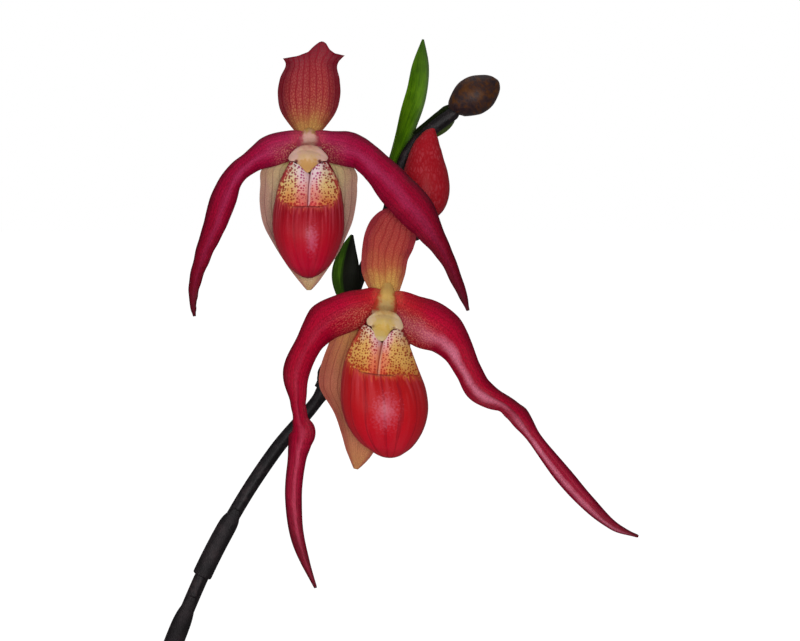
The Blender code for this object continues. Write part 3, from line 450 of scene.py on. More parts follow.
# A blade's stations: x, y, z, inner and outer half widths, roll and arc in degrees
flowerA = {
    "at": (95.3, -23.9, 558.3), "faceUp": 6.0, "lean": 0.0,
    "leftPetal": [
        (0.8, -0.1, -0.7, 2.8, 3.4, 0, -12), (-3.8, -0.1, -1, 4.6, 5, 0, -22),
        (-7.5, -0.5, -2, 6, 6, 0, -30), (-14, -2, -4, 6.5, 6, -5, -35), (-20.5, -5.5, -8, 5, 4, -15, -35),
        (-26.5, -10, -14.5, 4, 4.5, -20, -30), (-30, -14.5, -23.5, 4.5, 5.5, -10, -25),
        (-33.5, -19.5, -34, 4, 4.5, 5, -25), (-37, -24.5, -44.5, 3, 4, 20, -30),
        (-39.5, -28.5, -55, 2, 3, 20, -35), (-40, -29.5, -62, 1.2, 1.5, 15, -35),
        (-39.5, -30, -66.5, 0.5, 0.5, 0, -20),
    ],
    "rightPetal": [
        (-0.8, 0.6, -0.7, 2.8, 3.4, 0, -12), (3.8, -0.1, -1, 4.6, 5, 0, -22), (8, -1, -2, 6.5, 6, 0, -30),
        (14, -4.5, -3.5, 7, 7, -5, -35), (20, -9.5, -6, 6.5, 6, -10, -35),
        (26, -15, -11.5, 6.5, 6, -10, -30), (33, -21, -19, 7.5, 7, 5, -30),
        (40.5, -26, -27.5, 7.5, 7, 5, -30), (46, -30, -35.5, 5.5, 5, 15, -35),
        (51.5, -33.5, -45.5, 3, 3.5, 20, -35), (56.5, -36.5, -57, 2, 2, 15, -35),
        (59, -38, -64.5, 0.5, 0.5, 0, -20),
    ],
    "dorsal": [
        (0, 1.2, 1.2, 3.4, 3.4, 0, 12), (0.2, 4.2, 9.5, 10.3, 9.7, 0, 18),
        (0.4, 4.4, 17, 12.3, 12.1, 0, 25), (0.5, 3.6, 23.5, 11.5, 11.8, 0, 24),
        (0.6, 2.6, 28.4, 9.2, 10.5, 0, 14), (0.6, 2.0, 31.4, 10.4, 12.4, 0, 6),
        (0.6, 1.4, 34.5, 14, 16, 0, 2), (0.6, 0.4, 39.5, 14, 16, 0, 0),
    ],
    "dorsalTop": [
        (-20, 31), (-9.5, 31), (-4, 32), (0, 33.5), (2, 35.5), (4, 37), (5.5, 37.5), (7, 36.5), (8, 34.5),
        (10, 33), (14, 32), (20, 32),
    ],
    "synsepal": [
        (0, 3.3, -2.6, 4.6, 4.6, 0, 5), (0, 5.8, -9.5, 17.4, 17, 0, 14),
        (-0.2, 6.8, -17, 19.6, 18.8, 0, 30), (-0.2, 6.8, -25, 20, 19.6, 0, 42),
        (0, 6.4, -33, 18, 18, 0, 42), (0.2, 4.8, -41, 13.8, 13.6, 0, 38), (0.3, 2.4, -48, 8.8, 8.6, 0, 32),
        (0.4, 0.2, -53, 4.4, 4.2, 0, 25), (0.4, -1, -56.6, 0.8, 0.8, 0, 10),
    ],
    # the pouch's rings from the mouth down: middle x, front y, front z, back y, back z, half width
    "pouch": [
        (0.6, -12.9, -14.4, -3.6, -4.6, 7.0), (0.8, -16.0, -18.2, -1.4, -9.4, 9.9),
        (0.9, -18.9, -22.0, 0.0, -13.6, 11.5), (0.9, -21.8, -25.6, 1.0, -18.4, 12.4),
        (0.8, -24.2, -31.0, 1.6, -25.4, 13.2), (0.8, -24.8, -37.0, 1.2, -33.0, 13.1),
        (0.8, -22.8, -43.2, -0.8, -40.2, 11.1), (0.8, -18.8, -48.4, -4.6, -46.6, 7.7),
        (0.8, -14.8, -51.4, -8.4, -50.6, 3.8),
    ],
    "pouchFloor": (0.8, -11.4, -52.3), "lobeRise": 3.0, "slitRise": 1.2,
    "slit": (1, -26),  # its place across, and the height of its foot
    # the panel that the turned-in side lobes make: its outline in x and z
    "panel": mirrored([(1, -8), (6.5, -8.5), (9, -12.5), (11.5, -17.5), (12, -21), (10.5, -24.5), (7, -26),
                       (1, -26)]),
    # the shield at the column's end: its outline in x and z, its middle, and how far forward its top and
    # foot stand
    "shield": mirrored([(0.6, -2.8), (3.5, -3.2), (6, -4.8), (7.8, -7), (7.6, -8.6), (5.8, -9), (4.5, -9.8),
                        (2.8, -11.5), (0.6, -13.4)]),
    "shieldMiddle": (0.6, -7.4), "shieldDepth": (-10.2, -14.2), "shieldMarks": [(-3.8, -9), (5, -9)],
    # the column's foot, from the top sepal down to the shield
    "columnFoot": [
        (0.4, 1.6, 4.2, 1.2, 1.2, 0, -20), (0.4, 0.6, 3.6, 2.6, 2.6, 0, -50),
        (0.4, -0.4, 2.8, 3.8, 3.8, 0, -65), (0.4, -1.2, 2.0, 5.2, 5.2, 0, -70),
        (0.4, -2.0, 0, 6.2, 6.2, 0, -75), (0.5, -4.2, -1.8, 6.0, 6.0, 0, -80),
        (0.6, -8.6, -3.2, 4.4, 4.4, 0, -80),
    ],
}
flowerB = {
    "at": (125.3, -52.1, 500.0), "faceUp": 6.0, "lean": 6.0,
    "leftPetal": [
        (0.8, -0.1, -1.1, 2.8, 3.8, 0, -12), (-4.1, -0.3, -1.5, 5, 6.2, 0, -22), (-8, -2, -3, 7, 7, 0, -30),
        (-14, -4.5, -5.5, 8.5, 7.5, -10, -40), (-21, -8, -10.5, 7.5, 8, -15, -40),
        (-26, -12, -17.5, 5.5, 5, -10, -30), (-29, -16, -28.5, 4.5, 5.5, 0, -25),
        (-28, -18.5, -39, 3.5, 3.5, 30, -28), (-26.5, -20, -45, 3.5, 3.5, 30, -30),
        (-25, -21.5, -49.5, 5, 5, 5, -32), (-25, -23, -54, 4, 4.5, -5, -35),
        (-25.5, -25, -60, 3.5, 3.5, -10, -40), (-25, -28, -72, 3, 3.5, -5, -45),
        (-21.5, -31, -86.5, 2, 3, 0, -40), (-14, -34, -102, 0.5, 0.5, 0, -20),
    ],
    "rightPetal": [
        (-0.8, 0.6, -1.1, 2.8, 3.8, 0, -12), (4, -0.2, -1.5, 5.6, 6.2, 0, -22),
        (9, -1.5, -4, 9, 8.5, 5, -30), (15, -4, -6.5, 10, 9.5, 0, -35),
        (21.5, -6.5, -9.5, 8.5, 8.5, -5, -40), (27, -9.5, -14.5, 6.5, 6, -5, -35),
        (31.5, -11.5, -21.5, 5, 5, 0, -30), (37, -13.5, -28, 5.5, 5, 20, -30),
        (45.5, -14.5, -32, 4, 5, 40, -30), (50.5, -16, -35.5, 4, 6, 35, -32),
        (57, -17.5, -43, 2.5, 3, 5, -38), (68.5, -20, -55, 3.5, 3.5, -5, -45),
        (78.5, -21.5, -64, 3, 3, 0, -45), (88, -23, -71, 1.5, 2, 5, -40),
        (97, -24, -73.5, 0.4, 0.4, 0, -20),
    ],
    "dorsal": [
        (-0.2, 1.2, 1.2, 4.6, 4.0, 0, 12), (-1.6, 4.5, 9, 8.4, 7.4, 0, 18),
        (-2.4, 6.6, 15.5, 9.1, 8.8, 0, 26), (-1.7, 9.5, 22, 9.8, 9.8, 0, 28),
        (-0.2, 12.2, 28, 8.8, 8.8, 0, 26), (1.4, 14, 33, 5.2, 5.2, 0, 20), (2.6, 15, 36.8, 0.7, 0.7, 0, 0),
    ],
    "synsepal": [
        (-0.4, 3.4, -2.8, 4.6, 4.8, 0, 5), (-2.2, 6.7, -10.5, 12, 14.6, 0, 6),
        (-3.1, 8.3, -18.5, 13.6, 17.2, 0, 24), (-3.5, 8.6, -27, 15.2, 19.6, 0, 38),
        (-4, 7.8, -35.5, 14.6, 18.8, 0, 38), (-4.3, 5.9, -44, 12, 11.4, 0, 34),
        (-4.4, 3.4, -51.5, 8.4, 7.2, 0, 30), (-4.4, 1.1, -57, 4.6, 4.6, 0, 25),
        (-5, -0.1, -62.2, 0.8, 0.8, 0, 10),
    ],
    "pouch": [
        (-0.7, -14.2, -15.4, -4.0, -4.7, 7.2), (-0.5, -17.9, -19.5, -2.2, -10.4, 10.1),
        (-0.2, -21.2, -23.5, 0.0, -14.6, 11.9), (0.5, -24.4, -27.4, 1.1, -19.7, 13.5),
        (2.0, -27.1, -33.2, 1.8, -27.2, 15.3), (3.1, -27.8, -39.6, 1.3, -35.3, 15.7),
        (3.9, -25.5, -46.2, -0.9, -43.0, 13.9), (4.9, -21.1, -51.8, -5.2, -49.9, 9.8),
        (5.9, -16.6, -55.0, -9.4, -54.1, 4.9),
    ],
    "pouchFloor": (6.1, -12.8, -56.0), "lobeRise": 3.6, "slitRise": 1.0,
    "slit": (-0.5, -25.5),
    "panel": [
        (-0.5, -8), (-6.5, -8), (-9, -13.5), (-11.5, -20), (-11, -23), (-8, -25.5), (0, -26), (7, -25.5),
        (13.5, -25.5), (14, -22.5), (11.5, -16.5), (7, -9),
    ],
    "shield": [
        (-0.5, -3.5), (-3, -4), (-5, -5.5), (-6.5, -7.5), (-6, -9.2), (-4.5, -9.8), (-4.3, -11),
        (-3.2, -13), (-1, -14.5), (0.8, -14), (1.8, -12), (2.8, -10.3), (4.5, -9.6), (6.3, -9.9),
        (6.8, -8.5), (5.8, -6.3), (4.2, -4.5), (2, -3.6),
    ],
    "shieldMiddle": (-0.2, -7.6), "shieldDepth": (-10.6, -15.2), "shieldMarks": [(-4, -9.5), (3.7, -9.5)],
    "columnFoot": [
        (-0.6, 3.0, 6.4, 1.4, 1.4, 0, -20), (-0.5, 1.6, 5.2, 2.4, 2.4, 0, -50),
        (-0.4, -0.2, 3.8, 3.4, 3.4, 0, -65), (-0.4, -1.5, 2.2, 4.4, 4.4, 0, -70),
        (-0.4, -2.4, 0, 5.4, 5.4, 0, -75), (-0.5, -4.8, -2.2, 6.0, 6.0, 0, -80),
        (-0.6, -9.0, -4.0, 4.4, 4.4, 0, -80),
    ],
}


def petalRelief(seed, wave, groove):
    # a low mid groove and small waves that grow towards the margins
    def relief(u, v, half):
        ripple = np.sin(2 * math.pi * (v * wave + 0.13 * seed)) * 0.5
        ripple = ripple + np.sin(2 * math.pi * (v * wave * 1.7 + 0.4))
        waves = 0.22 * ripple * np.abs(u) ** 3 * smoothStep(0.05, 0.25, v)
        dip = groove * np.exp(-(u * half / 0.8) ** 2) * (1 - smoothStep(0.7, 1.0, v))
        return waves - dip
    return relief


def cutTop(grid, line):
    # shortens each column of a blade to end on a line of (x, z) points
    points, u, v = grid
    xs, zs = np.array(line).T
    cut = points.copy()
    old = np.linspace(0, 1, len(points))
    for c in range(points.shape[1]):
        column = points[:, c]
        above = column[:, 2] - np.interp(column[:, 0], xs, zs)
        over = np.argmax(above > 0)
        f = above[over - 1] / (above[over - 1] - above[over])
        end = (over - 1 + f) / (len(column) - 1)
        for axis in range(3):
            cut[:, c, axis] = np.interp(old * end, old, column[:, axis])
    return cut, u, v


def distanceInside(x, z, outline):
    # how far inside a closed outline each point lies, in mm: negative outside it
    px, pz = np.asarray(x)[..., None], np.asarray(z)[..., None]
    ax, az = np.array(outline, float).T
    bx, bz = np.roll(ax, -1), np.roll(az, -1)
    ex, ez = bx - ax, bz - az
    t = np.clip(((px - ax) * ex + (pz - az) * ez) / (ex**2 + ez**2), 0, 1)
    gap = np.hypot(px - ax - t * ex, pz - az - t * ez).min(axis=-1)
    side = ex * (pz - az) / np.where(np.abs(ez) < 1e-9, 1e-9, ez) + ax
    crosses = ((az > pz) != (bz > pz)) & (px < side)
    return np.where(crosses.sum(axis=-1) % 2 == 1, gap, -gap)


pouchForm = {
    "rings": 110, "sides": 132, "bowlRings": 14, "panelPoints": 72, "wall": 0.8,
    "slitHalf": 0.42, "lobeAside": 3.6, "lobeHalf": 2.6, "creaseHalf": 0.45, "ribs": 9,
    # how far each feature stands out of the skin, in mm
    "panelMove": -0.35, "slitMove": -1.1, "lobeMove": 0.55, "creaseMove": -0.45, "ribMove": 0.1,
}


def makePouch(name, look, place, finish):
    # the slipper: an open bag with a turned-in panel over its front and a slit down the panel's middle
    form = pouchForm
    sides = form["sides"]
    share = np.linspace(0, 1, form["rings"] + 1)
    share = np.sin(share * math.pi / 2) ** 0.9 * 0.4 + share * 0.6  # closer together towards the floor
    stations = np.array([spline(look["pouch"], s) for s in share])
    middle, frontY, frontZ, backY, backZ, half = stations.T[..., None]
    angle = np.linspace(0, 2 * math.pi, sides, endpoint=False)
    reach = (1 - np.cos(angle)) / 2
    x = middle + half * np.sin(angle)
    y = frontY + (backY - frontY) * reach
    z = frontZ + (backZ - frontZ) * reach
    # the turned-in lobes stand up beside the shield's lower lobe
    down = share[:, None]
    lobe = np.where(np.cos(angle) > 0, np.abs(np.sin(2 * angle)), 0) * (1 - smoothStep(0, 0.22, down))
    z = z + look["lobeRise"] * lobe + look["slitRise"] * (1 - smoothStep(0, 0.25, down)) * (1 - reach) ** 4
    points = np.stack([x, y, z], axis=-1)
    # the floor closes on a point, in a round bowl
    floor = np.array(look["pouchFloor"])
    left = 1 - np.arange(1, form["bowlRings"]) / form["bowlRings"]
    bowl = floor + (points[-1] - floor) * np.stack([left, left, left * left], axis=-1)[:, None]
    points = np.concatenate([points, bowl])
    x, z = points[..., 0], points[..., 2]
    forward = np.broadcast_to(smoothStep(0.0, 0.35, np.cos(angle)), x.shape)
    inside = np.where(forward > 0, distanceInside(x, z, closedSpline(look["panel"], form["panelPoints"])), -5)
    slitX, slitFoot = look["slit"]
    away = np.abs(x - slitX)
    panel = smoothStep(-0.25, 0.5, inside) * forward
    slit = np.exp(-(away / form["slitHalf"]) ** 2) * smoothStep(slitFoot - 0.4, slitFoot + 1.5, z) * panel
    lobes = np.exp(-((away - form["lobeAside"]) / form["lobeHalf"]) ** 2) * panel * smoothStep(0, 2.5, inside)
    crease = np.exp(-((inside + 0.15) / form["creaseHalf"]) ** 2) * forward * smoothStep(-8.0, -14.0, z)
    crease = crease * smoothStep(slitFoot + 3.5, slitFoot + 1.0, z) * smoothStep(8.0, 4.5, away)
    ribs = np.cos(angle * form["ribs"])[None] * smoothStep(0.3, 4.0, -inside) * smoothStep(-55, -48, z)
    move = (form["panelMove"] * panel + form["slitMove"] * slit + form["lobeMove"] * lobes
            + form["creaseMove"] * crease + form["ribMove"] * ribs)
    around = np.concatenate([points, points[:, :1]], axis=1)
    normal = unit(np.cross(np.gradient(points, axis=0), np.gradient(around, axis=1)[:, :-1]))
    outward = np.sign(np.sum(normal * (points - points.mean(axis=1, keepdims=True)), axis=-1, keepdims=True))
    normal = normal * np.where(outward == 0, 1, outward)
    outer = points + normal * move[..., None]
    inner = outer - normal * form["wall"]
    # the two walls join at the mouth, and each closes on a point of its own in the floor
    rows = len(outer)
    index = np.arange(rows * sides).reshape(rows, sides)
    innerIndex = index + rows * sides
    faces = gridFaces(index, wrap=True)[:, ::-1].tolist() + gridFaces(innerIndex, wrap=True).tolist()
    end = 2 * rows * sides
    faces += tipFaces(index[-1], end, turned=True) + tipFaces(innerIndex[-1], end + 1)
    faces += gridFaces(np.stack([innerIndex[0], index[0]]), wrap=True)[:, ::-1].tolist()
    ends = [outer[-1].mean(axis=0), inner[-1].mean(axis=0)]
    allPoints = np.concatenate([outer.reshape(-1, 3), inner.reshape(-1, 3), ends])

    def twice(values, low):
        return np.concatenate([values.ravel(), values.ravel(), [low, low]])
    angles = np.broadcast_to(angle / (2 * math.pi), x.shape)
    shares = np.broadcast_to(np.linspace(0, 1, rows)[:, None], x.shape)
    inPanel = twice(inside, -9)
    inPanel[rows * sides:] = -9  # the inner wall has no panel
    return meshObject(name, inPlant(allPoints, place), faces, finish,
                      uvs={"face": np.stack([twice(x - slitX, 0), twice(z, -55)], axis=1),
                           "share": np.stack([twice(angles, 0), twice(shares, 1)], axis=1)},
                      floats={"inside": inPanel})


def pouchMaterial(name, look):
    # Orchid lip: smooth waxy skin, glossier than the petals. It gives a broad soft highlight, partly painted
    # into the colour, over streaked red, and the pale panel is spotted.
    made, add, give = newMaterial(name, look)
    face = add("UVMap", uv_map="face")
    parts = add("SeparateXYZ", [face])
    x, z = parts.outputs[0], parts.outputs[1]
    away = add("Math ABSOLUTE", [x])
    inside = add("Attribute", attribute_name="inside").outputs["Fac"]
    share = add("SeparateXYZ", [add("UVMap", uv_map="share")])
    around, down = share.outputs[0], share.outputs[1]
    # the body: streaks and veins run down it from the panel
    streakMap = add("CombineXYZ", [add("Math MULTIPLY", [around, look["streaks"]]),
                                   add("Math MULTIPLY", [down, 2.2])])
    streak = add("TexNoise", [streakMap, 1.0, 3.0], **planar)
    body = add("ValToRGB", [down], stops=look["body"])
    light = add("MapRange", [streak, 0.45, 0.75, 0.0, 1.0])
    nearPanel = add("MapRange", [inside, -look["streakReach"], 0.0, 0.12, 0.8])
    body = add("Mix", [add("Math MULTIPLY", [light, nearPanel]), body, look["streakColour"]], **rgba)
    veinPlace = wavered(add, add("Math MULTIPLY", [around, look["veinCount"]]), streak, 1.3)
    vein = add("MapRange", [add("Math PINGPONG", [veinPlace, 1.0]), 0.2, 0.0, 0.0, look["veinAmount"]],
               **eased)
    body = add("Mix", [vein, body, look["veinColour"]], **rgba)
    # painted highlight: where it bulges most the colour is a paler pink in fine specks, standing in for the
    # shine of the light
    paintedHighlight = look["paintedHighlight"]
    fromHighlight = add("Mapping", {"Vector": face, "Location": (-paintedHighlight["at"][0], -paintedHighlight["at"][1], 0)})
    fromHighlight = add("VectorMath MULTIPLY", [fromHighlight, (1 / paintedHighlight["size"][0], 1 / paintedHighlight["size"][1], 0)])
    far = add("VectorMath LENGTH", [fromHighlight]).outputs["Value"]
    specks = add("TexNoise", [face, 1.1, 3.0], **planar)
    paler = add("MapRange", [wavered(add, far, specks, 1.6), 1.15, -0.1, 0.0, paintedHighlight["amount"]], **eased)
    body = add("Mix", [paler, body, paintedHighlight["colour"]], **rgba)
    # the panel: pale beside the slit, yellow outside, warm at its foot
    drift = add("TexNoise", [face, 0.35, 2.0], **planar)
    height = add("MapRange", [z, *look["panelZ"], 0.0, 1.0])
    height = wavered(add, height, drift, 0.35)
    middle = add("ValToRGB", [height], stops=look["panelMiddle"])
    sideColour = add("ValToRGB", [height], stops=look["panelSide"])
    toSide = add("MapRange", [wavered(add, away, drift, 4.0), *look["sideFrom"], 0.0, 1.0], **eased)
    panel = add("Mix", [toSide, middle, sideColour], **rgba)
    spots = add("TexVoronoi", {"Vector": face, "Scale": 1 / look["spotMm"], "Randomness": 0.85},
                voronoi_dimensions="2D")
    draw = add("SeparateColor", [spots.outputs["Color"]])
    limit = add("MapRange", [draw.outputs[0], 0.0, 1.0, *look["spotSize"]])
    crowd = add("MapRange", [inside, 3.0, 0.0, 0.0, 0.14])
    limit = add("Math ADD", [limit, crowd])
    rough = add("TexNoise", [face, 2.2, 1.0], **planar)
    ragged = wavered(add, spots.outputs["Distance"], rough, 0.22)
    spot = add("MapRange", [add("Math SUBTRACT", [limit, ragged]), -0.03, 0.06, 0.0, 0.92])
    clear = add("MapRange", [away, 0.5, 1.1, 0.0, 1.0])
    spot = add("Math MULTIPLY", [spot, clear])
    spotColour = add("Mix", [toSide, add("ValToRGB", [height], stops=look["spotMiddle"]),
                             add("ValToRGB", [height], stops=look["spotSide"])], **rgba)
    panel = add("Mix", [spot, panel, spotColour], **rgba)
    # painted highlight: a pale line on the lip right of the slit, where the overlapping lobe's edge catches
    # the light
    beside = apart(add, x, 0.42)
    lip = add("MapRange", [beside, 0.5, 0.1, 0.0, 0.6])
    panel = add("Mix", [lip, panel, look["lipHighlightColour"]], **rgba)
    # painted shadow: a dark line in the slit, under the overlapping lobe
    under = apart(add, x, -0.12)
    slit = add("MapRange", [under, 0.36, 0.1, 0.0, 0.85])
    panel = add("Mix", [slit, panel, look["slitShadowColour"]], **rgba)
    # the panel and the body run into each other in short strokes
    strokes = add("TexNoise", [add("CombineXYZ", [add("Math MULTIPLY", [around, 95.0]),
                                                  add("Math MULTIPLY", [z, 0.25])]), 1.0, 2.0], **planar)
    ragEdge = wavered(add, inside, strokes, look["fringe"])
    isPanel = add("MapRange", [ragEdge, -0.5, 0.5, 0.0, 1.0])
    below = add("MapRange", [ragEdge, -2.6, -0.2, 0.0, 0.45], **eased)
    body = add("Mix", [below, body, look["fringeColour"]], **rgba)
    colour = add("Mix", [isPanel, body, panel], **rgba)
    # painted shade: a dark line along the crease at the panel's foot, in its middle part
    creaseShade = add("MapRange", [apart(add, inside, -0.1), 0.36, 0.1, 0.0, look["creaseShadeAmount"]])
    atFoot = add("MapRange", [z, look["panelZ"][0] + 4.0, look["panelZ"][0] + 1.2, 0.0, 1.0])
    atMiddle = add("MapRange", [away, 7.5, 4.0, 0.0, 1.0])
    creaseShade = add("Math MULTIPLY", [creaseShade, add("Math MULTIPLY", [atFoot, atMiddle])])
    colour = add("Mix", [creaseShade, colour, look["creaseShadeColour"]], **rgba)
    give("Base Color", colour)
    grain = add("TexNoise", [face, 2.4, 3.0], **planar)
    roughness = add("MapRange", [grain, 0.3, 0.7, look["rough"] - 0.04, look["rough"] + 0.07])
    give("Roughness", roughness)
    height = add("Math MULTIPLY_ADD", [grain, 0.5, add("Math MULTIPLY", [vein, -0.6])])
    bump = add("Bump", {"Height": height, "Strength": 0.22, "Distance": 0.3 * mm})
    give("Normal", bump)
    return made


pouchSkin = {"IOR": 1.42, "Specular IOR Level": 0.24, "Subsurface Weight": 0.05,
             "Subsurface Radius": (1.4, 0.3, 0.2), "Subsurface Scale": 0.0012}
pouchLookA = {
    "surface": pouchSkin, "rough": 0.42,
    "streaks": 60.0, "streakReach": 12.0, "streakColour": "#c84c5c", "veinCount": 34.0, "veinAmount": 0.3,
    "veinColour": "#6c0216",
    "body": [(0.0, "#6c0612"), (0.3, "#8c0818"), (0.5, "#a8061e"), (0.72, "#b4082c"), (0.9, "#a80828"),
             (1.0, "#8c0624")],
    # painted highlight on the bulge: its middle, size, strength and colour
    "paintedHighlight": {"at": (1.6, -38.5), "size": (2.6, 6.4), "amount": 0.42, "colour": "#c8688a"},
    "lipHighlightColour": "#e0c0c8",
    "panelZ": (-26.0, -9.0), "fringe": 7.0, "fringeColour": "#c85044",
    "panelMiddle": [(0.0, "#d0504c"), (0.25, "#da8474"), (0.5, "#dcaaa8"), (0.75, "#e0c4c8"),
                    (1.0, "#dcc8cc")],
    "panelSide": [(0.0, "#c86438"), (0.22, "#d89858"), (0.5, "#dcb878"), (0.8, "#dcc4a4"), (1.0, "#d8c4bc")],
    "sideFrom": (2.5, 6.5),
    "spotMm": 1.15, "spotSize": (0.16, 0.42),
    "spotMiddle": [(0.0, "#b0282c"), (0.45, "#ac2444"), (0.7, "#a4206c"), (1.0, "#882058")],
    "spotSide": [(0.0, "#98241a"), (0.5, "#8e2418"), (1.0, "#801c34")],
    "slitShadowColour": "#701830", "creaseShadeAmount": 0.75, "creaseShadeColour": "#600c0c",
}
pouchLookB = {
    **pouchLookA, "streaks": 44.0, "streakColour": "#c4444c", "veinCount": 30.0, "veinAmount": 0.6,
    "veinColour": "#80061a",
    "body": [(0.0, "#840c0e"), (0.3, "#a81216"), (0.5, "#b20c18"), (0.75, "#c01028"), (0.92, "#bc1026"),
             (1.0, "#a00c20")],
    "paintedHighlight": {"at": (4.4, -39.0), "size": (5.4, 7.6), "amount": 0.5, "colour": "#c8647c"},
    "lipHighlightColour": "#dcac90",
    "panelMiddle": [(0.0, "#d45c38"), (0.35, "#d8805c"), (0.6, "#dca09c"), (0.8, "#dcbcc0"),
                    (1.0, "#dcc4c8")],
    "panelSide": [(0.0, "#c46c2c"), (0.3, "#d4a054"), (0.6, "#d4a25c"), (0.78, "#d8ae84"),
                  (1.0, "#d8c0b0")], "spotMm": 0.95, "spotSize": (0.16, 0.44), "sideFrom": (1.8, 5.0),
    "fringeColour": "#cc5a30",
    "spotMiddle": [(0.0, "#a82416"), (0.6, "#a4282c"), (0.85, "#a02064"), (1.0, "#841c50")],
    "spotSide": [(0.0, "#9c2c14"), (1.0, "#84201a")], "slitShadowColour": "#842818",
}


columnForm = {
    "rings": 34, "sides": 160, "half": 0.75, "footThickness": 1.4,
    # the shield's boss, the fold over it, its two marks and its bow, in mm
    "boss": 1.1, "fold": 0.22, "marks": 0.6, "bow": 0.035,
}


def makeColumn(name, look, place, finish):
    # the column's end: a shield with two wings and a small hanging lobe, on a short stout body
    form = columnForm
    sides, rings = form["sides"], form["rings"]
    edge = closedSpline(look["shield"], sides)
    middle = np.array(look["shieldMiddle"])
    share = np.sin(np.linspace(0, 1, rings + 1)[1:] * math.pi / 2)
    x, z = np.moveaxis(middle + share[:, None, None] * (edge - middle), -1, 0)
    topY, footY = look["shieldDepth"]
    topZ = look["shield"][0][1]
    height = topZ - edge[:, 1].min()
    swell = np.sqrt(1 - share[:, None] ** 4)
    fromMiddle, above = x - middle[0], z - middle[1]
    boss = form["boss"] * np.exp(-(fromMiddle / 2.6) ** 2 - ((above - 0.4) / 2.2) ** 2)
    fold = form["fold"] * np.exp(-((above - 2.6 + 0.05 * x * x) / 0.5) ** 2)
    marks = form["marks"] * sum(np.exp(-((x - mx) ** 2 + (z - mz) ** 2) / 0.5)
                                for mx, mz in look["shieldMarks"])
    y = topY + (footY - topY) * (topZ - z) / height + form["bow"] * fromMiddle ** 2
    front = y + (fold + marks - boss - form["half"]) * swell
    back = y + form["half"] * swell
    middleY = topY + (footY - topY) * (topZ - middle[1]) / height
    points = np.concatenate([
        np.stack([x, front, z], axis=-1).reshape(-1, 3), np.stack([x, back, z], axis=-1)[:-1].reshape(-1, 3),
        [(middle[0], middleY - 1.7, middle[1]), (middle[0], middleY + form["half"], middle[1])]])
    top = np.arange(rings * sides).reshape(rings, sides)
    under = np.concatenate([top[:-1] + rings * sides, top[-1:]])
    faces = gridFaces(top, wrap=True).tolist() + gridFaces(under, wrap=True)[:, ::-1].tolist()
    faces += tipFaces(top[0], len(points) - 2, turned=True) + tipFaces(under[0], len(points) - 1)
    shield = meshObject(name, inPlant(points, place), faces, finish, uvs={"face": points[:, (0, 2)]})
    grid = placed(bladeGrid(look["columnFoot"], 60, 40), place)
    foot = sheetObject(name + "_foot", grid, finish, form["footThickness"], facingFront)
    own = place.inverted()
    uv = foot.data.uv_layers.new(name="face")
    for loop in foot.data.loops:
        at = own @ (foot.data.vertices[loop.vertex_index].co / mm)
        uv.data[loop.index].uv = (at.x, at.z)
    return joined([shield, foot])


def joined(things):
    # several meshes as one piece, named as the first
    with bpy.context.temp_override(active_object=things[0], selected_editable_objects=things,
                                   selected_objects=things):
        bpy.ops.object.join()
    return things[0]


def columnMaterial(name, look):
    # Column tissue: waxy and slightly clear, with a fine bloom. It gives pale wings, a warm middle and
    # dark notches.
    made, add, give = newMaterial(name, look)
    face = add("UVMap", uv_map="face")
    parts = add("SeparateXYZ", [face])
    drift = add("TexNoise", [face, 0.7, 4.0], **planar)
    height = add("MapRange", [parts.outputs[1], *look["span"], 0.0, 1.0])
    ground = add("ValToRGB", [wavered(add, height, drift, 0.3)], stops=look["upwards"])
    away = apart(add, parts.outputs[0], look["middle"])
    edge = add("MapRange", [wavered(add, away, drift, 3.0), 2.2, 5.0, 0.0, 0.9], **eased)
    colour = add("Mix", [edge, ground, look["wings"]], **rgba)
    # above the shield the foot's sides take the petals' colour
    above = add("MapRange", [parts.outputs[1], look["footFrom"] - 0.3, look["footFrom"] + 0.6, 0.0, 1.0])
    side = add("MapRange", [wavered(add, away, drift, 3.0), 1.4, 3.8, 0.0, 1.0], **eased)
    upper = add("Mix", [side, ground, look["footSides"]], **rgba)
    colour = add("Mix", [above, colour, upper], **rgba)
    for x, z in look["marks"]:
        far = add("VectorMath DISTANCE", [face, (x, z, 0)])
        mark = add("MapRange", [far.outputs["Value"], look["markSize"], 0.3, 0.0, look["markAmount"]],
                   **eased)
        colour = add("Mix", [mark, colour, look["mark"]], **rgba)
    give("Base Color", colour)
    bump = add("Bump", {"Height": drift, "Strength": 0.3, "Distance": 0.3 * mm})
    give("Normal", bump)
    return made


columnLookA = {
    "surface": {"Roughness": 0.45, "IOR": 1.4, "Specular IOR Level": 0.25, "Subsurface Weight": 0.12,
                "Subsurface Radius": (1.0, 0.6, 0.35), "Subsurface Scale": 0.0015}, "span": (-13.4, 5.0),
    "middle": 0.6,
    "upwards": [(0.0, "#b88c58"), (0.13, "#b8884e"), (0.24, "#be9058"), (0.32, "#c8a47c"),
                (0.44, "#c49c84"), (0.54, "#bc8c78"), (0.62, "#b06c60"), (0.7, "#c89c8c"),
                (0.82, "#c8988c"), (0.9, "#b88c60"), (1.0, "#b4904e")], "footFrom": -3.0,
    "footSides": "#a83a50", "wings": "#c8a094", "marks": flowerA["shieldMarks"], "markSize": 1.0,
    "markAmount": 0.95, "mark": "#5c1418",
}
columnLookB = {
    **columnLookA, "span": (-14.6, 5.2), "middle": -0.2,
    "upwards": [(0.0, "#b8a47c"), (0.12, "#b89c5c"), (0.25, "#bc9644"), (0.33, "#c0a25c"),
                (0.45, "#bc9c68"), (0.55, "#b08850"), (0.66, "#c4a268"), (0.8, "#c09a54"),
                (1.0, "#bc9450")], "footFrom": -4.0, "footSides": "#b4402c", "wings": "#c8ac8c",
    "mark": "#7c5030", "marks": flowerB["shieldMarks"], "markSize": 0.8, "markAmount": 0.6,
}


bladeThickness = 0.9


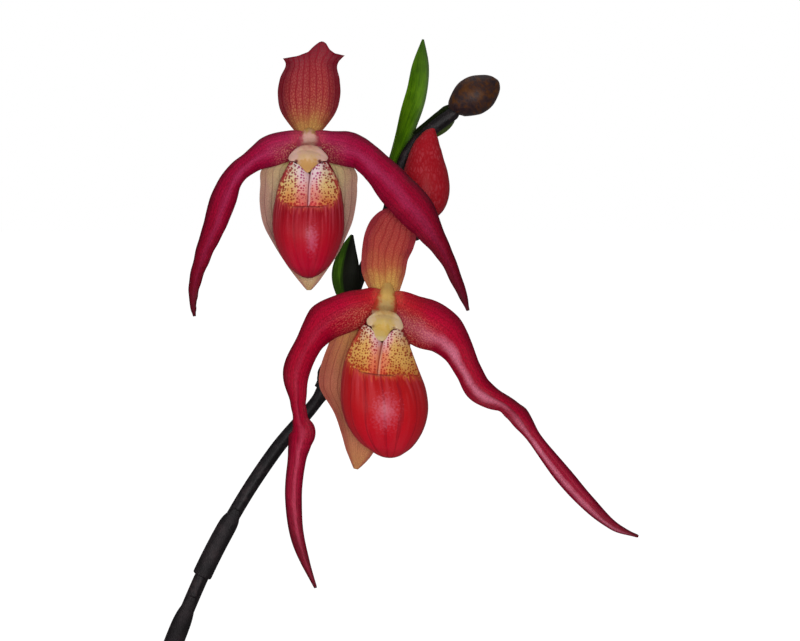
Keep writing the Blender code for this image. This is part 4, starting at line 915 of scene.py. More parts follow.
def makeFlower(letter, look, looks):
    # one open flower of seven pieces
    place = flowerPlace(look)
    name = "flower_" + letter
    petal = petalMaterial("petal_skin_" + letter, looks["petal"])
    rightPetal = petal
    if "petalRight" in looks:
        rightPetal = petalMaterial("petal_skin_right_" + letter, looks["petalRight"])
    dorsal = petalMaterial("dorsal_sepal_skin_" + letter, looks["dorsal"])
    synsepal = petalMaterial("lower_sepal_skin_" + letter, looks["synsepal"])
    pouch = pouchMaterial("pouch_skin_" + letter, looks["pouch"])
    column = columnMaterial("column_tissue_" + letter, looks["column"])
    # each blade: its key, name, size of grid, side, groove and waves, finish and slot
    blades = [
        ("leftPetal", "left_petal", (220, 40), 1, (1, 9, 0.5), petal, "petal_red"),
        ("rightPetal", "right_petal", (220, 40), -1, (-1, 9, 0.5), rightPetal, "petal_red"),
        ("dorsal", "dorsal_sepal", (150, 56), 1, (3, 3, 0.35), dorsal, "sepal_red"),
        ("synsepal", "synsepal", (150, 56), 1, (5, 3, 0.5), synsepal, "synsepal_tan"),
    ]
    for key, piece, size, side, relief, finish, slot in blades:
        grid = bladeGrid(look[key], *size, side, relief=petalRelief(*relief))
        if key + "Top" in look:
            grid = cutTop(grid, look[key + "Top"])
        made = sheetObject(f"{name}_{piece}_fine", placed(grid, place), finish, bladeThickness, facingFront)
        handOver(made, f"{name}_{piece}")
    handOver(makePouch(f"{name}_pouch_fine", look, place, pouch), f"{name}_pouch")
    handOver(makeColumn(f"{name}_column_fine", look, place, column), f"{name}_column")
    print("flower", letter)


makeFlower("a", flowerA, {"petal": petalLookA, "dorsal": dorsalLookA, "synsepal": synsepalLookA,
                          "pouch": pouchLookA, "column": columnLookA})
makeFlower("b", flowerB, {"petal": petalLookB, "petalRight": petalLookBRight, "dorsal": dorsalLookB,
                          "synsepal": synsepalLookB, "pouch": pouchLookB, "column": columnLookB})


# Stem, bracts and buds
stem = {
    # the middle line, as x, y, z and radius, from the bark to the tip bud
    "line": [
        (0, 0, 105.5, 3.2), (1, -1, 150, 3.2), (5, -5, 215, 3.1), (17, -12, 285, 3), (34, -18, 342, 2.9),
        (50.4, -19, 384, 2.8), (65.2, -16, 413, 2.75), (81.5, -14, 438, 2.7), (100, -13.5, 461, 2.4),
        (106.5, -12, 480, 2.2), (113, -8, 501, 2.2), (120, -5, 518, 2.1), (126.5, -2.4, 534, 2.1),
        (132, -0.4, 552, 2), (140.9, 1.6, 561.2, 2.6), (150.6, 2.3, 568.4, 2.6),
    ],
    # nodes, as shares of that line
    "nodeA": 9.5 / 15, "nodeB": 8 / 15, "nodeC": 12 / 15, "nodeD": 13.6 / 15, "swell": 0.5,
    "sheaths": {"sheath_1": (0.245, 0.085), "sheath_2": (0.345, 0.062)},
    "sheathArcs": (150, 150, 150, 145, 120, 70, 20), "sheathGap": 0.7, "sheathThickness": 0.65,
    # each bract: where it clasps the stem and how far round, and the stations of its free blade
    "bracts": {
        "bract_a": {"node": "nodeA", "outward": (-0.5, -0.86, 0), "rings": 3, "clasp": 1.0, "blade": [
            (108.4, -13.6, 500, 6.6, 6.6, 0, 58), (107.8, -14, 507, 7.2, 7.2, 0, 50),
            (109, -13.8, 514, 5.2, 5.2, 0, 42), (111.6, -13.2, 522, 0.6, 0.6, 0, 20)]},
        "bract_b": {"node": "nodeB", "outward": (-0.95, -0.2, 0), "rings": 3, "clasp": 1.0, "blade": [
            (98.5, -15, 469, 3, 3, 0, 60), (101, -15.5, 474, 0.6, 0.6, 0, 20)]},
        "bract_c": {"node": "nodeC", "outward": (-0.86, 0.5, 0), "rings": 3, "clasp": 1.0, "blade": [
            (125.8, 2.2, 547, 6, 6, 0, 62), (128, 3.4, 554, 6, 5.8, 0, 50),
            (132.2, 4.2, 565, 6, 5.2, -15, 38), (136.2, 4.8, 576, 4.7, 4.3, -40, 32),
            (138, 5.4, 587, 3.6, 3.4, -45, 26), (139, 5.8, 597.2, 0.4, 0.4, -45, 15)]},
        "bract_d": {"node": "nodeD", "outward": (-0.25, 0.95, 0.2), "rings": 2, "clasp": 0.7, "blade": [
            (145.4, 5.9, 565.2, 4.9, 4.9, 0, 45), (149, 5.8, 569, 3.9, 3.9, 0, 42),
            (152.4, 5.2, 571.6, 0.8, 0.8, 0, 20)]},
    },
    # the rings of a clasping foot: height above the node, arc in degrees and clearance
    "claspRings": [(0.5, 112, 0.0), (2.6, 95, 0.2), (5.0, 70, 0.8)], "bractGap": 0.68, "bractThickness": 0.7,
    # each ovary: its node, how far above it the foot lies, and its route as x, y, z and radius
    "ovaries": {
        "flower_a_ovary": ("nodeA", 3.5, [
            (96.8, -13, 554.5, 2.7), (100.5, -6.5, 545, 2.7), (103.6, -2.6, 531, 2.5),
            (106.2, -2.4, 514, 2.1)]),
        "flower_b_ovary": ("nodeB", 8.5, [
            (121, -41, 495.5, 2.9), (113, -31.5, 489, 2.8), (107.6, -25, 482.5, 2.5), (105, -20, 476, 2.0)]),
        "bud_c_ovary": ("nodeC", 3.5, [
            (138.1, -13.2, 524.9, 2.3), (137.4, -12.6, 523, 2.3), (135, -10.6, 521.6, 2.1),
            (131.6, -7.6, 524.2, 1.9)]),
    },
    "ovaryFoot": 1.6, "ovaryGap": 0.35,
    "intoBud": [(151.4, 2.4, 569.1, 2.3), (152.2, 2.5, 569.8, 1.6), (152.9, 2.5, 570.4, 0.6)],
    "budC": [(137.6, -13, 526, 2.2), (138.6, -13.6, 531.5, 7.2), (139.8, -13.8, 538, 9.1),
             (139.8, -13.6, 545, 8.7), (139.9, -13.3, 551, 7.0), (140.4, -13.1, 555.5, 5.5),
             (141.2, -12.9, 558.6, 3.9), (142, -12.8, 560.8, 2.5), (143, -12.8, 562.6, 0.5)],
    "tipBud": [(150.6, 2.3, 568.9, 1.8), (152.3, 2.5, 570.8, 4.6), (156.8, 2.9, 574.1, 7.3),
               (161.4, 3.2, 576.6, 7.3), (165, 3.4, 578.8, 5.4), (167.3, 3.5, 580.2, 3.2),
               (168.4, 3.6, 580.9, 0.8)],
    # the seams of the buds: angle, width and depth
    "sutures": [(3.6, 0.16, 0.05), (5.6, 0.14, 0.04)],
}


def slopeAt(line, share):
    a, b = Vector(spline(line, share - 0.004)[:3]), Vector(spline(line, share + 0.004)[:3])
    return (b - a).normalized()


def stemRadius(share):
    swell = sum(math.exp(-((share - stem[key]) / 0.006) ** 2) for key in ("nodeA", "nodeB", "nodeC", "nodeD"))
    return spline(stem["line"], share)[3] + stem["swell"] * swell


def stemMaterial(name, look):
    # Flower stalk: dark purple skin with short grey down over it. It gives near black with a faint grey
    # edge light.
    made, add, give = newMaterial(name, look)
    size = add("UVMap", uv_map="size")
    parts = add("SeparateXYZ", [size])
    fine = add("CombineXYZ", [add("Math MULTIPLY", [parts.outputs[0], 16.0]),
                              add("Math MULTIPLY", [parts.outputs[1], 0.5])])
    streak = add("TexNoise", [fine, 1.0, 4.0], **planar)
    place = add("TexCoord").outputs["Object"]
    mottle = add("TexNoise", [place, 1 / (look["mottleMm"] * mm), 4.0])
    mixed = add("Math ADD", [streak, add("Math SUBTRACT", [mottle, 0.5])])
    colour = add("ValToRGB", [mixed], stops=look["ramp"])
    if "front" in look:
        along = add("SeparateXYZ", [add("UVMap", uv_map="share")]).outputs[1]
        nearFlower = add("MapRange", [along, 0.16, 0.08, 0.0, 1.0])
        colour = add("Mix", [nearFlower, colour, look["front"]], **rgba)
    dust = add("TexNoise", [place, 1 / (0.35 * mm), 2.0])
    down = add("MapRange", [dust, 0.55, 0.75, 0.0, look["down"]])
    colour = add("Mix", [down, colour, look["downColour"]], **rgba)
    give("Base Color", colour)
    bump = add("Bump", {"Height": add("Math ADD", [streak, dust]), "Strength": 0.4, "Distance": 0.25 * mm})
    give("Normal", bump)
    return made


scapeLook = {
    "surface": {"Roughness": 0.5, "Specular IOR Level": 0.2},
    "ramp": [(0.3, "#0c080a"), (0.55, "#161014"), (0.75, "#2a2022")], "mottleMm": 6.0, "down": 0.2,
    "downColour": "#484044",
}
tipBudLook = {
    "surface": {"Roughness": 0.5, "Specular IOR Level": 0.2, "Sheen Weight": 0.08, "Sheen Roughness": 0.4,
                "Sheen Tint": "#b8a8b0"},
    "ramp": [(0.3, "#24161a"), (0.5, "#34201c"), (0.62, "#44240e"), (0.85, "#54300e")], "mottleMm": 11.0,
    "down": 0.1, "downColour": "#6c5c60",
}
ovaryLook = dict(scapeLook, ramp=[(0.3, "#2c1a20"), (0.55, "#472a30"), (0.8, "#62404a")], down=0.3,
                 front="#c89c88")


def greenMaterial(name, look):
    # Leafy tissue: waxy green skin with fine parallel veins. It gives soft streaked greens and a satin
    # highlight.
    made, add, give = newMaterial(name, look)
    size = add("UVMap", uv_map="size")
    share = add("SeparateXYZ", [add("UVMap", uv_map="share")])
    u, v = share.outputs[0], share.outputs[1]
    lengthwise = add("Mapping", {"Vector": size, "Scale": look["streakScale"]})
    streak = add("TexNoise", [lengthwise, 1.0, 4.0], **planar)
    drift = add("TexNoise", [size, 1 / look["driftMm"], 3.0], **planar)
    tone = add("Math ADD", [streak, add("Math SUBTRACT", [drift, 0.5])])
    colour = add("ValToRGB", [tone], stops=look["ramp"])
    along = add("ValToRGB", [v], stops=look["shadeAlong"])
    colour = add("Mix", [along, colour, look["shade"]], **rgba)
    across = add("MapRange", [u, *look["sideFrom"], 0.0, look["sideAmount"]], **eased)
    colour = add("Mix", [across, colour, look["sideColour"]], **rgba)
    rib = add("MapRange", [add("Math ABSOLUTE", [u]), 0.09, 0.01, 0.0, look["rib"]], **eased)
    colour = add("Mix", [rib, colour, look["ribColour"]], **rgba)
    under = add("Mix", [look["underAmount"], colour, look["under"]], **rgba)
    front = add("Attribute", attribute_name="front")
    colour = add("Mix", [front.outputs["Fac"], under, colour], **rgba)
    give("Base Color", colour)
    bump = add("Bump", {"Height": streak, "Strength": 0.3, "Distance": 0.25 * mm})
    give("Normal", bump)
    return made


leafLook = {
    "surface": {"Roughness": 0.36, "IOR": 1.45, "Coat Weight": 0.08, "Coat Roughness": 0.25},
    "streakScale": (1.3, 0.03, 1.0), "driftMm": 30.0,
    "ramp": [(0.3, "#274714"), (0.5, "#35591c"), (0.72, "#456b26")],
    "shadeAlong": [(0.0, 0.55), (0.1, 0.15), (0.4, 0.0), (0.93, 0.0), (1.0, 0.35)], "shade": "#6e7a3c",
    "sideFrom": (2.0, 3.0), "sideAmount": 0.0, "sideColour": "#35591c", "rib": 0.3, "ribColour": "#5c7c38",
    "underAmount": 0.6, "under": "#5e7c46",
}
bractLook = {
    "surface": {"Roughness": 0.55, "Specular IOR Level": 0.06, "Subsurface Weight": 0.05,
                "Subsurface Radius": (0.3, 1.0, 0.2), "Subsurface Scale": 0.001},
    "streakScale": (2.2, 0.1, 1.0), "driftMm": 7.0,
    "ramp": [(0.3, "#3a5e02"), (0.5, "#486f04"), (0.72, "#547c08")],
    "shadeAlong": [(0.0, 0.4), (0.25, 0.0), (0.8, 0.1), (1.0, 0.8)], "shade": "#2c4614",
    "sideFrom": (0.5, 0.95), "sideAmount": 0.7, "sideColour": "#3a4a2c", "rib": 0.25, "ribColour": "#2c4c08",
    "underAmount": 0.4, "under": "#4c5c30",
}
# painted shade: the right half of bract A is near black, where it lies in shade beside the stem
bractLookA = dict(bractLook, sideFrom=(0.2, -0.1), sideAmount=0.97, sideColour="#100c0c", underAmount=0.0,
                  ramp=[(0.3, "#304c0c"), (0.5, "#3c6010"), (0.72, "#4c7018")])
bractLookD = dict(bractLook, ramp=[(0.3, "#34401c"), (0.5, "#485428"), (0.72, "#5c6840")],
                  sideFrom=(0.1, -0.2), sideAmount=0.9, sideColour="#141c0c")


def makeStem():
    dark = stemMaterial("scape_skin", scapeLook)
    steps = 400
    line = [(*spline(stem["line"], i / steps)[:3], stemRadius(i / steps)) for i in range(steps + 1)]

    def ridges(angle, share):
        return 1 + 0.025 * np.cos(5 * angle + 9 * share) + 0.015 * np.cos(3 * angle - 30 * share)
    handOver(tubeObject("scape_fine", line + stem["intoBud"], dark, 520, 40, ridges), "scape")
    for name, (foot, length) in stem["sheaths"].items():
        stations = []
        for i, arc in enumerate(stem["sheathArcs"]):
            share = foot + length * i / (len(stem["sheathArcs"]) - 1)
            radius = stemRadius(share) + stem["sheathGap"]
            place = Vector(spline(stem["line"], share)[:3]) - Vector((0, radius, 0))
            stations.append((*place, *[radius * math.radians(arc)] * 2, 0, -arc))
        made = sheetObject(name + "_fine", bladeGrid(stations, 90, 40), dark, stem["sheathThickness"],
                           facingFront)
        handOver(made, name)
    print("scape")


def makeBract(name, bract, finish, slot):
    # a blade whose foot clasps the stem at a node
    node = stem[bract["node"]]
    up = slopeAt(stem["line"], node)
    outward = Vector(bract["outward"])
    outward = (outward - up * outward.dot(up)).normalized()
    stations = []
    for lift, arc, clear in stem["claspRings"][:bract["rings"]]:
        radius = stemRadius(node) + stem["bractGap"] + clear
        place = Vector(spline(stem["line"], node)[:3]) + up * lift + outward * radius
        arc *= bract["clasp"]
        stations.append((*place, *[radius * math.radians(arc)] * 2, 0, arc))
    grid = bladeGrid(stations + bract["blade"], 110, 34, facing=tuple(-outward))
    handOver(sheetObject(name + "_fine", grid, finish, stem["bractThickness"], tuple(-outward)), name)


def makeBracts():
    finishes = {
        "bract_a": (greenMaterial("bract_skin_shaded", bractLookA), "bract_green"),
        # bract B takes the stem's near-black skin
        "bract_b": (stemMaterial("dark_bract_skin", scapeLook), "stem_dark"),
        "bract_c": (greenMaterial("bract_skin", bractLook), "bract_green"),
        "bract_d": (greenMaterial("bract_skin_grey", bractLookD), "bract_green"),
    }
    for name, bract in stem["bracts"].items():
        makeBract(name, bract, *finishes[name])
    print("bracts")


def makeOvary(name, points, node, lift, finish):
    # an ovary with its stalk, from behind a flower to the stem just above a node
    up = slopeAt(stem["line"], node)
    foot = Vector(spline(stem["line"], node)[:3]) + up * lift
    toward = (Vector(points[-1][:3]) - foot).normalized()
    lean = toward.angle(up)
    clear = spline(stem["line"], node)[3] + stem["ovaryGap"]
    reach = (clear + stem["ovaryFoot"] * abs(math.cos(lean))) / math.sin(lean)
    line = points + [(*(foot + toward * reach), stem["ovaryFoot"])]

    def ribs(angle, share):
        return 1 + 0.05 * np.cos(6 * angle) * np.exp(-((share - 0.35) / 0.3) ** 2)
    handOver(tubeObject(name + "_fine", line, finish, 150, 40, ribs), name)


def knob(look):
    # the two points behind a flower where its ovary begins
    place = flowerPlace(look)
    return [(*(place @ Vector((0, y, 0))), r) for y, r in ((1.9, 3.0), (5.5, 2.7))]


def makeOvaries():
    finish = stemMaterial("ovary_skin", ovaryLook)
    starts = {"flower_a_ovary": knob(flowerA), "flower_b_ovary": knob(flowerB), "bud_c_ovary": []}
    for name, (node, lift, route) in stem["ovaries"].items():
        makeOvary(name, starts[name] + route, stem[node], lift, finish)
    print("ovaries")


def budMaterial(name, look):
    # Closed sepals: the same skin as the open ones, paler between a net of veins
    made, add, give = newMaterial(name, look)
    place = add("TexCoord").outputs["Object"]
    stretched = add("Mapping", {"Vector": place, "Scale": (900, 900, 330)})
    net = add("TexVoronoi", [stretched, 1.0], feature="DISTANCE_TO_EDGE")
    cell = add("MapRange", [net, 0.03, 0.26, 0.0, 1.0])
    patch = add("TexNoise", [place, 1 / (5 * mm), 3.0])
    amount = add("Math MULTIPLY", [cell, add("MapRange", [patch, 0.35, 0.65, 0.15, 0.9])])
    colour = add("Mix", [amount, look["veins"], look["cells"]], **rgba)
    give("Base Color", colour)
    bump = add("Bump", {"Height": net, "Strength": 0.3, "Distance": 0.4 * mm})
    give("Normal", bump)
    return made


budLook = {"surface": dict(waxySkin, Roughness=0.45), "veins": "#98101c", "cells": "#a8323c"}


def makeBuds():
    def sutures(angle, share):
        return 1 - sum(depth * np.exp(-((angle - at) / width) ** 2) for at, width, depth in stem["sutures"])
    for name, key, finish, rings, sides, slot in (
            ("bud_c", "budC", budMaterial("bud_skin", budLook), 130, 72, "sepal_red"),
            ("tip_bud", "tipBud", stemMaterial("tip_bud_skin", tipBudLook), 110, 64, "bud_dark")):
        handOver(tubeObject(name + "_fine", stem[key], finish, rings, sides, sutures), name)
    print("buds")


makeStem()
makeBracts()
makeOvaries()
makeBuds()

# Leaves
leaves = {
    "thickness": 1.5, "rootDepth": 13.0, "firstRadius": 8.0, "spacing": 5.0, "rows": 150, "columns": 24,
    "stations": 12, "footHalf": 7.0, "widestAt": 0.34, "taperFrom": 0.55, "wave": 0.5,
    "fold": (14, 46), "foldTo": 0.42,  # degrees over the blade, and more at its foot
    # each fan: where it stands, its pocket in the mix, and its leaves as (side, length, widest half
    # width, rise at the foot, droop at the tip, turn)
    "fans": [
        {"name": "fan_1", "at": (0, 0), "pocket": 27, "leaves": [
            (1, 285, 17.5, 84, -34, 12), (-1, 300, 18.0, 85, -30, 8), (1, 320, 18.5, 77, -46, -12),
            (-1, 310, 18.5, 78, -44, 14), (1, 265, 17.5, 66, -48, -3), (-1, 275, 17.5, 67, -46, 3)]},
        {"name": "fan_2", "at": (-9, 29), "pocket": 23, "leaves": [
            (1, 240, 15.5, 83, -22, 24), (-1, 260, 16.0, 84, -28, -30), (1, 269.5, 17.0, 72, -44, 34),
            (-1, 255, 16.5, 70, -46, -22)]},
    ],
}
pot = {
    "height": 132.0, "topRadius": 72.0, "footRadius": 52.0, "wall": 2.6, "rimHeight": 17.0, "rimStep": 3.6,
    "holeRadius": 5.0, "holeCircle": 31.0, "holes": 4, "holeSides": 40, "steps": 144, "barkTop": 118.0,
    "mixGap": 0.35, "pocketSquash": 0.62,
}


def leafGrid(fan, order, leaf):
    side, length, widest, rise, droop, turn = leaf
    heading = math.radians(turn) + (math.pi if side < 0 else 0)
    outward = Vector((math.cos(heading), math.sin(heading), 0))
    foot = Vector((side, 0, 0))
    place = Vector((*fan["at"], pot["barkTop"] - leaves["rootDepth"] + pot["mixGap"]))
    place += foot * (leaves["firstRadius"] + leaves["spacing"] * order)
    stations, count = [], leaves["stations"]
    for i in range(count + 1):
        share = i / count
        swing = min(1.0, share / 0.25)
        flat = (foot * (1 - swing) + outward * swing).normalized()
        stations.append((*place, flat.x, flat.y))
        bend = max(0.0, share - 0.1) / 0.9
        angle = math.radians(rise + (droop - rise) * bend**1.25)
        place = place + (flat * math.cos(angle) + Vector((0, 0, math.sin(angle)))) * (length / count)
    along = np.linspace(0, 1, leaves["rows"] + 1)
    line = np.array([spline(stations, s) for s in along])
    low = leaves["footHalf"] / widest
    width = low + (1 - low) * np.minimum(1, along / leaves["widestAt"]) ** 0.8
    taper = np.maximum(along - leaves["taperFrom"], 0) / (1 - leaves["taperFrom"])
    width = width * np.where(along < leaves["taperFrom"], 1.0, np.maximum(0, 1 - taper ** 2.2) ** 0.75)
    half = np.maximum(widest * width, 0.5)[:, None]
    centre, forward = line[:, :3], unit(np.gradient(line[:, :3], axis=0))
    across = unit(np.stack([-line[:, 4], line[:, 3], 0 * along], axis=1))
    upper = np.cross(forward, across)
    if upper[0] @ np.array([-line[0, 3], -line[0, 4], 0.3]) < 0:
        upper = -upper
    opened, closed = leaves["fold"]
    fold = np.radians(opened + closed * np.maximum(0, 1 - along / leaves["foldTo"]) ** 1.5)[:, None]
    u, v = np.meshgrid(np.sin(np.linspace(-1, 1, leaves["columns"] + 1) * math.pi / 2), along)
    size = np.sqrt(u * u + 0.08**2) - 0.08  # the fold is a little round at the midrib
    wave = leaves["wave"] * np.sin(v * 26 + order * 2 + side) * np.abs(u) ** 2 * smoothStep(0.15, 0.4, v)
    points = (centre[:, None] + across[:, None] * (u * half * np.cos(fold))[..., None]
              + upper[:, None] * (size * half * np.sin(fold) + wave)[..., None])
    return points, u, v


def makeLeaves():
    finish = greenMaterial("leaf_skin", leafLook)
    feet = []
    for fan in leaves["fans"]:
        for i, leaf in enumerate(fan["leaves"]):
            grid = leafGrid(fan, i // 2, leaf)
            name = f"{fan['name']}_leaf_{i + 1}"
            handOver(sheetObject(name + "_fine", grid, finish, leaves["thickness"], (0, 0, 1)), name)
            feet.append(grid[0][:14:3, ::6].reshape(-1, 3))
    print("leaves")
    return np.concatenate(feet)


# Potting mix and pot
mix = {
    "chips": 330, "seed": 11, "long": (5.0, 10.5), "small": (2.2, 4.4), "wide": (0.55, 0.85),
    "thick": (0.34, 0.6), "tilt": 0.28, "shade": (0.48, 0.17), "drumShade": 0.12,
    "drum": (96, 3, 22),  # steps round, up and in
    "ramp": [(0.0, "#2a1a12"), (0.35, "#4a2c1c"), (0.6, "#6b4028"), (0.85, "#8a5c3c"), (1.0, "#a67c56")],
}


def barkMaterial(name, ramp):
    # Fir bark: dry layered cork. Each chip has its own brown, with darker layers across its edges.
    made, add, give = newMaterial(name, {"surface": {"Roughness": 0.88, "Specular IOR Level": 0.2}})
    own = add("Attribute", attribute_name="chip").outputs["Fac"]
    place = add("TexCoord").outputs["Object"]
    layers = add("Attribute", attribute_name="layer").outputs["Fac"]
    band = add("TexNoise", [add("CombineXYZ", [layers, own]), 9.0, 4.0], **planar)
    grit = add("TexNoise", [place, 1 / (1.6 * mm), 5.0])
    tone = wavered(add, own, band, 0.7)
    tone = wavered(add, tone, grit, 0.9)
    colour = add("ValToRGB", [tone], stops=ramp)
    give("Base Color", colour)
    bump = add("Bump", {"Height": add("Math ADD", [grit, band]), "Strength": 0.7, "Distance": 0.7 * mm})
    give("Normal", bump)
    return made


def innerRadius(height):
    slope = (pot["topRadius"] - pot["rimStep"] - pot["footRadius"]) * height / pot["height"]
    return pot["footRadius"] + slope - pot["wall"]


def blockPoints(steps):
    # the points and faces of a block's six sides, from -1 to 1, shared along its edges
    numbers, points, faces = {}, [], []

    def number(p):
        key = tuple(round(c, 4) for c in p)
        if key not in numbers:
            numbers[key] = len(points)
            points.append(p)
        return numbers[key]
    ticks = [2 * i / steps - 1 for i in range(steps + 1)]
    for axis in range(3):
        for sign in (-1, 1):
            for i in range(steps):
                for j in range(steps):
                    corners = [(ticks[i + a], ticks[j + b]) for a, b in ((0, 0), (1, 0), (1, 1), (0, 1))]
                    if sign < 0:
                        corners.reverse()
                    faces.append([number(tuple(np.roll((sign, a, b), axis))) for a, b in corners])
    return np.array(points, float), faces


def inPocket(x, y, grow):
    # whether a place on the mix is in the pocket where a fan of leaves stands
    for fan in leaves["fans"]:
        reach = fan["pocket"] + grow
        if ((x - fan["at"][0]) / reach) ** 2 + ((y - fan["at"][1]) / (reach * pot["pocketSquash"])) ** 2 < 1:
            return True
    return False


def mixDrum():
    # the body of the mix: a closed drum with an uneven dark top
    steps, ringsUp, ringsIn = mix["drum"]
    top, foot = pot["barkTop"], pot["wall"] + pot["mixGap"]
    rows = []
    for i in range(ringsUp + 1):
        height = foot + (top - 4.0 - foot) * i / ringsUp
        rows.append([(innerRadius(height) - pot["mixGap"], height)] * steps)
    for i in range(1, ringsIn):
        radius = (innerRadius(top) - 0.6) * (1 - i / ringsIn)
        ring = []
        for s in range(steps):
            angle = 2 * math.pi * s / steps
            x, y = radius * math.cos(angle), radius * math.sin(angle)
            lump = 1.6 * noise.noise(Vector((x * 0.22, y * 0.22, 3.1)))
            ring.append((radius, top - 3.2 + lump - (4.5 if inPocket(x, y, -2) else 0)))
        rows.append(ring)
    points = []
    for row in rows:
        for s, (radius, height) in enumerate(row):
            angle = 2 * math.pi * s / steps
            points.append((radius * math.cos(angle), radius * math.sin(angle), height))
    index = np.arange(len(points)).reshape(-1, steps)
    faces = gridFaces(index, wrap=True).tolist()
    faces += tipFaces(index[0], len(points), turned=True) + tipFaces(index[-1], len(points) + 1)
    return points + [(0, 0, foot), (0, 0, top - 7)], faces


def makeMix(feet):
    rng = random.Random(mix["seed"])
    block, blockFaces = blockPoints(4)
    points, faces = mixDrum()
    own = [mix["drumShade"]] * len(points)
    layer = [p[2] * 0.05 for p in points]
    top = pot["barkTop"]
    reach = innerRadius(top) - 1.5
    tries = mix["chips"] * 3
    made = 0
    for i in range(tries):
        radius = reach * math.sqrt((i + 0.5) / tries)
        angle = i * math.pi * (3 - math.sqrt(5))
        x, y = radius * math.cos(angle) + rng.uniform(-2, 2), radius * math.sin(angle) + rng.uniform(-2, 2)
        pocketed = inPocket(x, y, 1)
        long = rng.uniform(*mix["small" if pocketed else "long"])
        if not pocketed and i % 3:
            continue
        wide, thick = long * rng.uniform(*mix["wide"]), long * rng.uniform(*mix["thick"])
        if math.hypot(x, y) + long > reach + 3:
            x, y = x * (reach - long + 2) / radius, y * (reach - long + 2) / radius
        height = top - 1.2 + rng.uniform(-1.4, 1.6) - (3.5 if pocketed else 0)
        if np.min(np.linalg.norm(feet - (x, y, height), axis=1)) < long * 0.75 + 1.2:
            continue
        turn = Matrix.Rotation(rng.uniform(0, 2 * math.pi), 3, "Z")
        turn = turn @ Matrix.Rotation(rng.gauss(0, mix["tilt"]), 3, "X")
        turn = turn @ Matrix.Rotation(rng.gauss(0, mix["tilt"]), 3, "Y")
        shift = Vector([rng.uniform(0, 90) for _ in range(3)])
        corner = [rng.uniform(0.72, 1.0) for _ in range(8)]
        skew = rng.uniform(-0.35, 0.35)
        start = len(points)
        for p in block:
            q = Vector(p)
            q *= 1 / max(1.0, (abs(q.x) ** 5 + abs(q.y) ** 5 + abs(q.z) ** 5) ** 0.2)
            grow = corner[(q.x > 0) * 4 + (q.y > 0) * 2 + (q.z > 0)]
            grow = 1 + (grow - 1) * min(1, abs(q.x) + abs(q.y))
            rough = 1 + 0.16 * noise.noise(q * 1.7 + shift) + 0.07 * noise.noise(q * 4.5 + shift)
            spot = Vector((q.x * long / 2 + skew * q.y * wide / 2, q.y * wide / 2,
                           q.z * thick / 2)) * grow * rough
            points.append(tuple(turn @ spot + Vector((x, y, height))))
        faces += [[n + start for n in f] for f in blockFaces]
        own += [min(1.0, max(0.0, rng.gauss(*mix["shade"])))] * len(block)
        layer += [p[2] * 0.5 + made * 0.37 for p in block]
        made += 1
    ready = meshObject("potting_mix_fine", points, faces, barkMaterial("fir_bark", mix["ramp"]),
                       floats={"chip": own, "layer": layer})
    handOver(ready, "potting_mix")
    print("potting mix:", made, "chips")


def clayMaterial(name, look):
    # Fired clay: dry, open and matt. It gives an even orange brown with soft paler clouds and a faint
    # grain.
    made, add, give = newMaterial(name, look)
    place = add("TexCoord").outputs["Object"]
    cloud = add("TexNoise", {"Vector": place, "Scale": 1 / (42 * mm), "Detail": 4.0, "Roughness": 0.6})
    colour = add("ValToRGB", [cloud], stops=look["ramp"])
    height = add("SeparateXYZ", [place]).outputs[2]
    rings = add("TexNoise", [add("CombineXYZ", [0.0, 0.0, height]), 1 / (1.8 * mm), 3.0])
    grain = add("TexNoise", [place, 1 / (0.9 * mm), 5.0])
    speck = add("MapRange", [grain, 0.3, 0.7, 0.9, 1.08])
    colour = add("VectorMath SCALE", [colour, speck])
    give("Base Color", colour)
    bump = add("Bump", {"Height": add("Math ADD", [rings, grain]), "Strength": 0.25, "Distance": 0.4 * mm})
    give("Normal", bump)
    return made


potLook = {"surface": {"Roughness": 0.82, "Specular IOR Level": 0.25},
           "ramp": [(0.3, "#a6593a"), (0.5, "#b4684a"), (0.72, "#c48062")]}


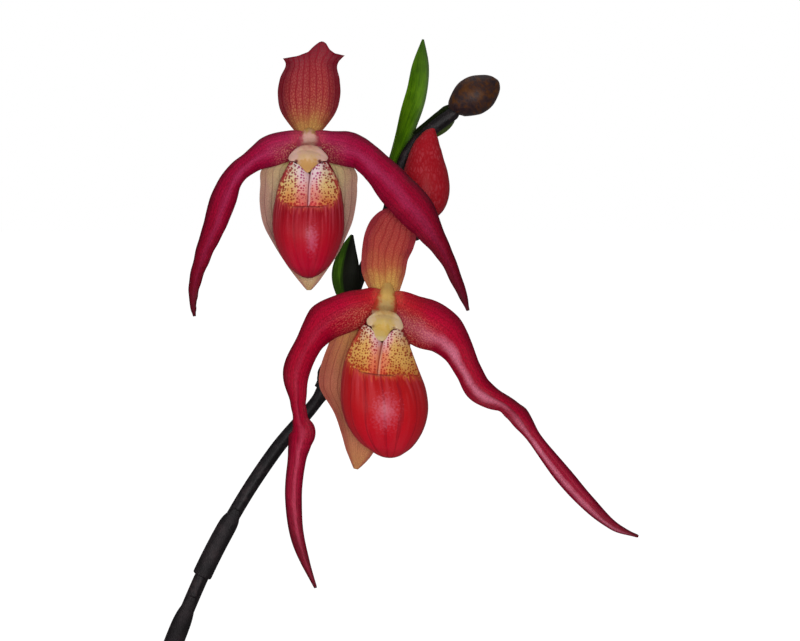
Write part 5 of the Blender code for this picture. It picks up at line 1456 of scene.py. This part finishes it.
def makePot():
    h, top, foot, wall = pot["height"], pot["topRadius"], pot["footRadius"], pot["wall"]
    rimFoot = h - pot["rimHeight"]
    wallTop = innerRadius(rimFoot) + wall
    # the profile as radius and height, from the floor up the inside, over the rim and down the outside
    outline = [
        (innerRadius(wall) - 3, wall), (innerRadius(wall) - 0.8, wall + 0.3),
        (innerRadius(wall) + 0.1, wall + 2), (innerRadius(rimFoot), rimFoot), (innerRadius(h), h - 1.4),
        (innerRadius(h) + 0.35, h - 0.5), (innerRadius(h) + 1.2, h), (top - 1.9, h), (top - 0.7, h - 0.4),
        (top - 0.05, h - 1.5), (top - 0.3, h - 6), (top - 0.8, rimFoot + 1.4), (top - 1.1, rimFoot + 0.4),
        (top - 1.9, rimFoot), (wallTop + 0.5, rimFoot), (wallTop, rimFoot - 0.6),
        (foot + (wallTop - foot) * 66 / rimFoot + 0.15, 66), (foot + 0.5, 3), (foot + 0.1, 1.2),
        (foot - 0.9, 0.2), (foot - 2.2, 0.0),
    ]

    def circle(radius, steps, x=0.0, y=0.0):
        angles = [2 * math.pi * s / steps for s in range(steps)]
        return [(x + radius * math.cos(a), y + radius * math.sin(a)) for a in angles]
    points = [(x, y, z) for r, z in outline for x, y in circle(r, pot["steps"])]
    index = np.arange(len(points)).reshape(-1, pot["steps"])
    faces = gridFaces(index, wrap=True)[:, ::-1].tolist()
    faces.append(index[0].tolist())
    faces.append(index[-1][::-1].tolist())
    finish = clayMaterial("fired_clay", potLook)
    body = meshObject("pot_fine", points, faces, finish)
    sides = pot["holeSides"]
    low, high = list(range(sides)), list(range(sides, 2 * sides))
    sideFaces = [[a, b, b + sides, a + sides] for a, b in zip(low, low[1:] + low[:1])]
    for x, y in circle(pot["holeCircle"], 2 * pot["holes"])[1::2]:
        tool = [(*p, z) for z in (-4, wall + 4) for p in circle(pot["holeRadius"], sides, x, y)]
        drill = meshObject("drill", tool, sideFaces + [low[::-1], high], finish)
        cut = body.modifiers.new("hole", "BOOLEAN")
        cut.object, cut.operation, cut.solver = drill, "DIFFERENCE", "EXACT"
        with bpy.context.temp_override(object=body, active_object=body):
            bpy.ops.object.modifier_apply(modifier=cut.name)
        bpy.data.objects.remove(drill)
    body.data.shade_smooth()
    body.data.set_sharp_from_angle(angle=math.radians(45))
    handOver(body, "pot")
    print("pot")


makeMix(makeLeaves())
makePot()

# Camera, light and floor
view = {"lens": 85.0, "sensor": 36.0, "at": (130.0, -739.1, 565.1), "down": 6.0}


def makeCamera():
    lens = bpy.data.cameras.new("camera")
    lens.lens = view["lens"]
    lens.sensor_width = view["sensor"]
    camera = bpy.data.objects.new("camera", lens)
    camera.location = Vector(view["at"]) * mm
    camera.rotation_euler = (math.radians(90 - view["down"]), 0, 0)
    bpy.context.scene.collection.objects.link(camera)
    bpy.context.scene.camera = camera


studio = {
    "ambient": 0.16, "background": 1.0,
    # each soft box: place and aim in mm, edge in mm, power in watts
    "boxes": [
        ("key_box", (190, -1150, 560), (120, -30, 500), 380, 9.4),
        ("fill_box", (-700, -1100, 560), (100, 0, 450), 900, 4.2),
        ("top_box", (100, 300, 1900), (60, 0, 200), 1400, 4.6),
    ],
    "floorColour": "#8c8c8c", "floorGlow": (0.8, 1.0),  # near the pot and far from it
}


def makeStudio():
    world = bpy.data.worlds.new("studio")
    world.use_nodes = True
    tree = world.node_tree
    add = functools.partial(addNode, tree)
    back = tree.nodes["Background"]
    back.inputs["Color"].default_value = (1, 1, 1, 1)
    seen = add("LightPath").outputs["Is Camera Ray"]
    strength = add("MapRange", {"Value": seen, "To Min": studio["ambient"], "To Max": studio["background"]})
    fill(tree, back.inputs["Strength"], strength)
    bpy.context.scene.world = world
    for name, at, aim, edge, power in studio["boxes"]:
        light = bpy.data.lights.new(name, "AREA")
        light.size = edge * mm
        light.energy = power
        box = bpy.data.objects.new(name, light)
        box.location = Vector(at) * mm
        box.rotation_euler = (Vector(aim) - Vector(at)).to_track_quat("-Z", "Y").to_euler()
        bpy.context.scene.collection.objects.link(box)
    # the floor: matt pale acrylic, faintly lit from below, so that it stays pale under the soft boxes
    made, add, give = newMaterial("pale_studio_floor", {"surface": {
        "Base Color": studio["floorColour"], "Roughness": 0.9, "Specular IOR Level": 0.1,
        "Emission Color": "#ffffff"}})
    reach = add("VectorMath LENGTH", [add("TexCoord").outputs["Object"]])
    glow = add("MapRange", [reach.outputs["Value"], 0.1, 0.6, *studio["floorGlow"]], **eased)
    give("Emission Strength", glow)
    edge = 9000
    corners = [(-edge, -edge, 0), (edge, -edge, 0), (edge, edge, 0), (-edge, edge, 0)]
    floor = meshObject("studio_floor", corners, [[0, 1, 2, 3]], made)
    floor.visible_diffuse = False
    floor.visible_glossy = False


makeCamera()
makeStudio()
bpy.context.scene.view_settings.view_transform = "Standard"
print("camera and studio")
